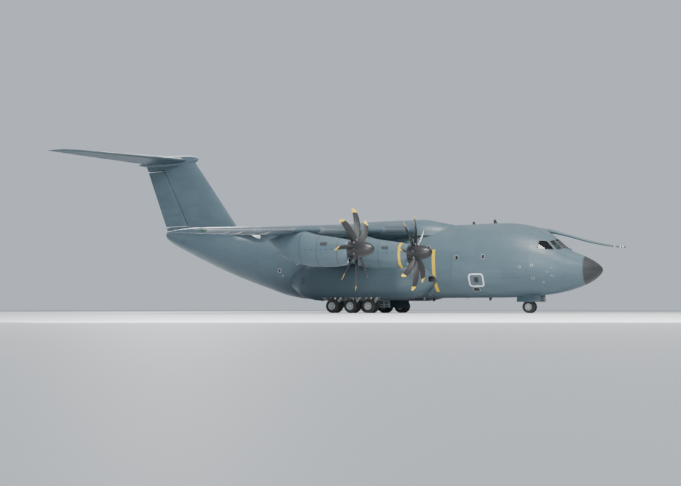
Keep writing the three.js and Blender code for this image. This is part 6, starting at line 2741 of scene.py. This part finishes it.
@dataclass
class GearDoor:
    """An open door beside the wheels."""

    node: str
    side: int
    ends: Range  # stations
    top: Range  # side and height of its upper edge
    bottom: Range  # and of its lower edge
    thick: float
    curve: float  # how far its middle stands out
    ribs_from: float  # share of its depth where its ribs start
    base: float  # side of the face that the ribs stand on
    proud: float  # and how far they stand out from it
    neighbour: Callable[[], Solid]  # the body that its upper edge is fitted to

    def at(self, share: float) -> np.ndarray:
        """Side and height at a share of its depth."""
        return np.array(self.top) + (np.array(self.bottom) - np.array(self.top)) * share

    def build(self) -> None:
        """Make the door with its stiffeners."""
        rows = []
        for t in np.linspace(0, 1, 9):
            y, z = self.at(t)
            rows.append((y + self.curve * math.sin(math.pi * t), z))
        outline = rows + [(y - self.thick, z) for y, z in rows[::-1]]
        plate = rounded(Solid().prism(outline, 0, *self.ends).on(self.side).build("plate", DOOR_PAINT), 0.006)
        cut(plate, PRIMER, self.neighbour())
        start, end = self.ends
        ribs = Solid()
        run = [self.at(t) for t in np.linspace(self.ribs_from, 0.97, 6)]
        outline = [(y + self.base, z) for y, z in run] + [(y + self.base + self.proud, z) for y, z in run[::-1]]
        for s in np.linspace(start + 0.08, end - 0.08, int((end - start) / 0.42) + 1):
            ribs.prism(outline, 0, *about(s, 0.012))
        for t in (self.ribs_from + 0.03, 0.75, 0.94):
            y, z = self.at(t)
            across = (y + self.base, y + self.base + self.proud * 0.8)
            ribs.box((start + 0.04, end - 0.04), across, about(z, 0.012))
        place(joined(f"{self.node}_panel", [plate, ribs.on(self.side).build("ribs", PRIMER)]), self.node)


def gear_doors() -> Iterable[GearDoor]:
    """Yield the four doors."""
    front, middle = (lambda: hull(2.6, 7.6, 0.0, 0.3)), (lambda: hull(14.0, 23.0, 0.0, 0.4))
    nose = ((4.3, 6.05), (0.64, 1.6), (0.86, 0.82), 0.03, -0.028 * 0.35, 0.56, -0.03, -0.035, front)
    main = ((15.75, 20.7), (1.98, 1.3), (1.82, 0.42), 0.04, 0.03 * 0.35, 0.38, 0.0, 0.045, middle)
    for word, side in SIDES:
        yield GearDoor(f"nose_gear_door_{word}", side, *nose)
        yield GearDoor(f"main_gear_door_{word}", side, *main)


# ---- Small fittings ----


@dataclass
class Fittings:
    """Antennas, lamps, vents and probes on the hull."""

    node: str = "fuselage_centre"
    antenna_rows: Sequence[tuple] = (  # node, and the antennas' station, height, chord and up or down
        ("fuselage_centre", (7.6, 0.3, 0.34, 1)),
        ("fuselage_centre", (9.3, 0.22, 0.3, 1)),
        ("fuselage_centre", (8.1, 0.22, 0.28, -1)),
        ("fuselage_centre", (12.6, 0.26, 0.32, -1)),
        ("fuselage_centre", (22.6, 0.2, 0.28, -1)),
        ("fuselage_rear", (26.3, 0.26, 0.34, 1)),
    )
    hatches: Outline = (  # ranges of station and side
        (7.9, 8.9, 0.35, 1.05),
        (9.7, 10.5, -1.2, -0.5),
        (12.3, 13.4, -0.4, 0.4),
        (14.9, 15.7, 0.25, 0.95),
        (16.4, 17.2, -0.9, -0.2),
        (18.6, 19.8, -0.45, 0.45),
        (21.2, 22.0, 0.3, 0.9),
        (22.9, 23.6, -1.0, -0.35),
    )

    def antenna(self, s: float, tall: float, chord: float, sign: int) -> Solid:
        """One blade antenna on the crown or the belly.

        Args:
            s: its station.
            tall: its height.
            chord: its length at the foot.
            sign: 1 for the crown and -1 for the belly.

        Returns:
            The antenna.
        """
        top, bottom = HULL(s)[:2]
        base = (top if sign > 0 else bottom) - sign * 0.04
        u = np.linspace(0, 2 * math.pi, 20, endpoint=False)
        rings = []
        for t, tip in ((0.0, 1.0), (0.1, 1.0), (0.5, 1.0), (0.85, 1.0), (0.97, 0.85), (1.0, 0.6)):
            x = s + chord * 0.5 * t + chord * (1 - 0.45 * t) * tip * (1 - np.cos(u)) / 2
            y = 0.028 * (1 - 0.5 * t) * np.sin(u) * (1 - 0.35 * np.cos(u + math.pi))
            rings.append(np.column_stack([x, y, np.full(20, base + sign * (0.04 + tall) * t)]))
        return Solid().loft(rings)

    def antennas(self) -> None:
        """Make the blade antennas."""
        for node in ("fuselage_centre", "fuselage_rear"):
            parts = Solid().join(self.antenna(*row) for where, row in self.antenna_rows if where == node)
            parts.put(f"antennas_{node}", RADOME_COAT, node)

    def beacons(self) -> None:
        """Make the red beacons on crown and belly."""
        c, n = circle(32)
        for node, s, z, sign in (("wing_fairing", 17.0, 7.31, 1), ("fuselage_centre", 14.6, keel(14.6), -1)):
            base = Solid().tube((s, 0, z - sign * 0.02), (s, 0, z + sign * 0.03), 0.13, 32)
            base.put(f"beacon_base_{node}", BARE_METAL, node)
            rings = []
            for turn in np.linspace(0, 1.45, 8):
                r, height = 0.1 * math.cos(turn), z + sign * (0.03 + 0.09 * math.sin(turn))
                rings.append(np.column_stack([s + r * c, r * n, np.full(32, height)]))
            Solid().loft(rings).put(f"beacon_{node}", RED_GLASS, node)

    def sensors(self) -> None:
        """Make air-data probes, static ports and vents on both flanks of the nose."""
        dark, metal, rims = Solid(), Solid(), Solid()
        for side in (-1, 1):
            skin = flank(side)
            for s, z in ((3.2, 3.2), (3.5, 2.9), (3.2, 2.65)):
                metal.tube(skin(s, z, -0.02), skin(s, z, 0.07), 0.02, 16)
                y = skin(s, z, 0.0)[1]
                metal.tube((s + 0.02, y + side * 0.06, z), (s - 0.17, y + side * 0.075, z), (0.016, 0.01), 16)
            for s, z, r in ((4.45, 3.4, 0.07), (4.45, 2.5, 0.08), (3.8, 2.2, 0.06), (5.3, 3.3, 0.07)):
                here, aft, above = (np.array(skin(*p, 0.0)) for p in ((s, z), (s + 0.05, z), (s, z + 0.05)))
                out = -side * np.cross(aft - here, above - here)
                out /= np.linalg.norm(out)
                dark.tube(here - out * 0.05, here + out * 0.01, r, 28)
                rims.tube(here - out * 0.05, here + out * 0.006, r + 0.022, 28)
        dark.put("sensor_faces", SEAL, "fuselage_front")
        rims.put("sensor_rims", BARE_METAL, "fuselage_front")
        metal.put("air_data_probes", BARE_METAL, "fuselage_front")

    def belly_panels(self) -> None:
        """Make the hatch outlines and the small plates under the hull."""
        lines = Solid().join(line_on(belly, row[:2], row[2:], 0.08, 0.018) for row in self.hatches)
        places = [(s, y) for s in np.arange(12.6, 23.8, 0.75) for y in (-1.35, 1.35)]
        dots = Solid().join(plate_on(belly, about(s, 0.05), about(y, 0.05), 0.006, 2) for s, y in places)
        lines.put("belly_hatch_lines", SEAL, self.node)
        dots.put("belly_plates", BARE_METAL, self.node)

    def vents(self) -> None:
        """Make the outlets low on the hull and the drain masts below it."""
        frames, slats, masts = Solid(), Solid(), Solid()
        for side, s, z in ((-1, 8.7, 1.75), (1, 9.6, 1.75), (-1, 24.0, 2.4)):
            ranges = about(s, 0.24), about(z, 0.13)
            slats.join([plate_on(flank(side), *ranges)])
            frames.join([line_on(flank(side), *ranges, 0.04, 0.02, 0.012)])
        for s, y in ((10.2, 0.5), (13.3, -0.6), (23.6, 0.35)):
            z = keel(s)
            outline = [(s, z + 0.1), (s + 0.05, z - 0.14), (s + 0.13, z - 0.14), (s + 0.16, z + 0.1)]
            masts.prism(outline, 1, *about(y, 0.012))
        slats.put("vent_faces", SEAL, self.node)
        frames.put("vent_frames", BARE_METAL, self.node)
        masts.put("drain_masts", BARE_METAL, self.node)

    def build(self) -> None:
        """Build the fittings."""
        self.antennas()
        self.beacons()
        self.sensors()
        self.belly_panels()
        self.vents()


# ---- Studio ----


def aimed(obj: Object, at: Point, target: Point) -> None:
    """Put an object into the scene and point it at a target.

    Args:
        obj: a camera or a lamp.
        at: where it stands, in the frame's metres.
        target: what it looks at.
    """
    bpy.context.scene.collection.objects.link(obj)
    obj.location = Vector(at)
    obj.rotation_euler = (Vector(target) - obj.location).to_track_quat("-Z", "Y").to_euler()


@dataclass(frozen=True)
class Lamp:
    """A soft round area lamp."""

    name: str
    at: Point
    target: Point
    size: float
    power: float
    colour: Colour

    def build(self) -> None:
        """Build the lamp."""
        data = bpy.data.lights.new(self.name, "AREA")
        data.shape = "DISK"
        data.size = self.size
        data.energy = self.power
        data.color = self.colour
        aimed(bpy.data.objects.new(self.name, data), self.at, self.target)


@dataclass
class Studio:
    """A pale floor, soft lamps and the camera at floor level."""

    azimuth: float = 28.0  # from starboard towards the nose
    distance: float = 34.0
    eye: float = 0.12
    aim: Point = (0.35, 0.0, 2.9)
    lens: float = 43.0
    reach: float = 160.0
    lamps: tuple[Lamp, ...] = (
        Lamp("key", (16.0, -14.0, 20.0), (0.0, 0.0, 2.0), 12.0, 9500.0, (1.0, 0.97, 0.92)),
        Lamp("fill", (14.0, -22.0, 3.5), (2.0, 0.0, 1.6), 12.0, 2200.0, (0.93, 0.97, 1.0)),
        Lamp("rim", (-18.0, 12.0, 14.0), (0.0, 0.0, 2.0), 10.0, 5200.0, (1.0, 1.0, 1.0)),
    )

    def camera(self) -> None:
        """Make the camera."""
        data = bpy.data.cameras.new("camera")
        data.lens = self.lens
        data.clip_end = 400.0
        camera = bpy.data.objects.new("camera", data)
        turn = math.radians(self.azimuth)
        aimed(camera, (self.distance * math.sin(turn), -self.distance * math.cos(turn), self.eye), self.aim)
        bpy.context.scene.camera = camera

    def floor(self) -> None:
        """Make the floor with its material."""
        mesh = bpy.data.meshes.new("floor")
        ends = (-self.reach, self.reach)
        mesh.from_pydata([(x, y, 0) for x, y in rectangle(ends, ends)], [], [(0, 1, 2, 3)])
        floor = bpy.data.objects.new("floor", mesh)
        bpy.context.scene.collection.objects.link(floor)
        mesh.materials.append(Ground("floor_coat").material())

    def world(self) -> None:
        """Make the pale backdrop."""
        world = bpy.data.worlds.new("backdrop")
        world.use_nodes = True
        shade = world.node_tree.nodes["Background"]
        shade.inputs["Color"].default_value = (0.72, 0.8, 0.9, 1.0)
        shade.inputs["Strength"].default_value = 0.75
        bpy.context.scene.world = world

    def build(self) -> None:
        """Build all but the camera."""
        self.floor()
        self.world()
        for lamp in self.lamps:
            lamp.build()


def main() -> None:
    """Build the aircraft and the studio."""
    logging.basicConfig(level=logging.INFO, format="%(name)s: %(message)s")
    studio = Studio()
    studio.camera()
    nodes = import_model()["nodes"]
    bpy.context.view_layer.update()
    LOG.info("%d CAD nodes loaded", len(nodes))
    for name, finish in COATS.items():
        coat(nodes[name], finish)
    pieces = [FlightDeck(), Nose(), Barrel(), Rear()]
    pieces += [Sponson(*side) for side in SIDES]
    pieces += [Wing(*side) for side in SIDES]
    pieces += [Crown(), *ENGINES, Tail()]
    pieces += [MainGear(*side) for side in SIDES]
    pieces += [NoseGear(), *gear_doors(), Fittings(), studio]
    for piece in pieces:
        piece.build()
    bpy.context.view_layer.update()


if __name__ == "__main__":
    main()
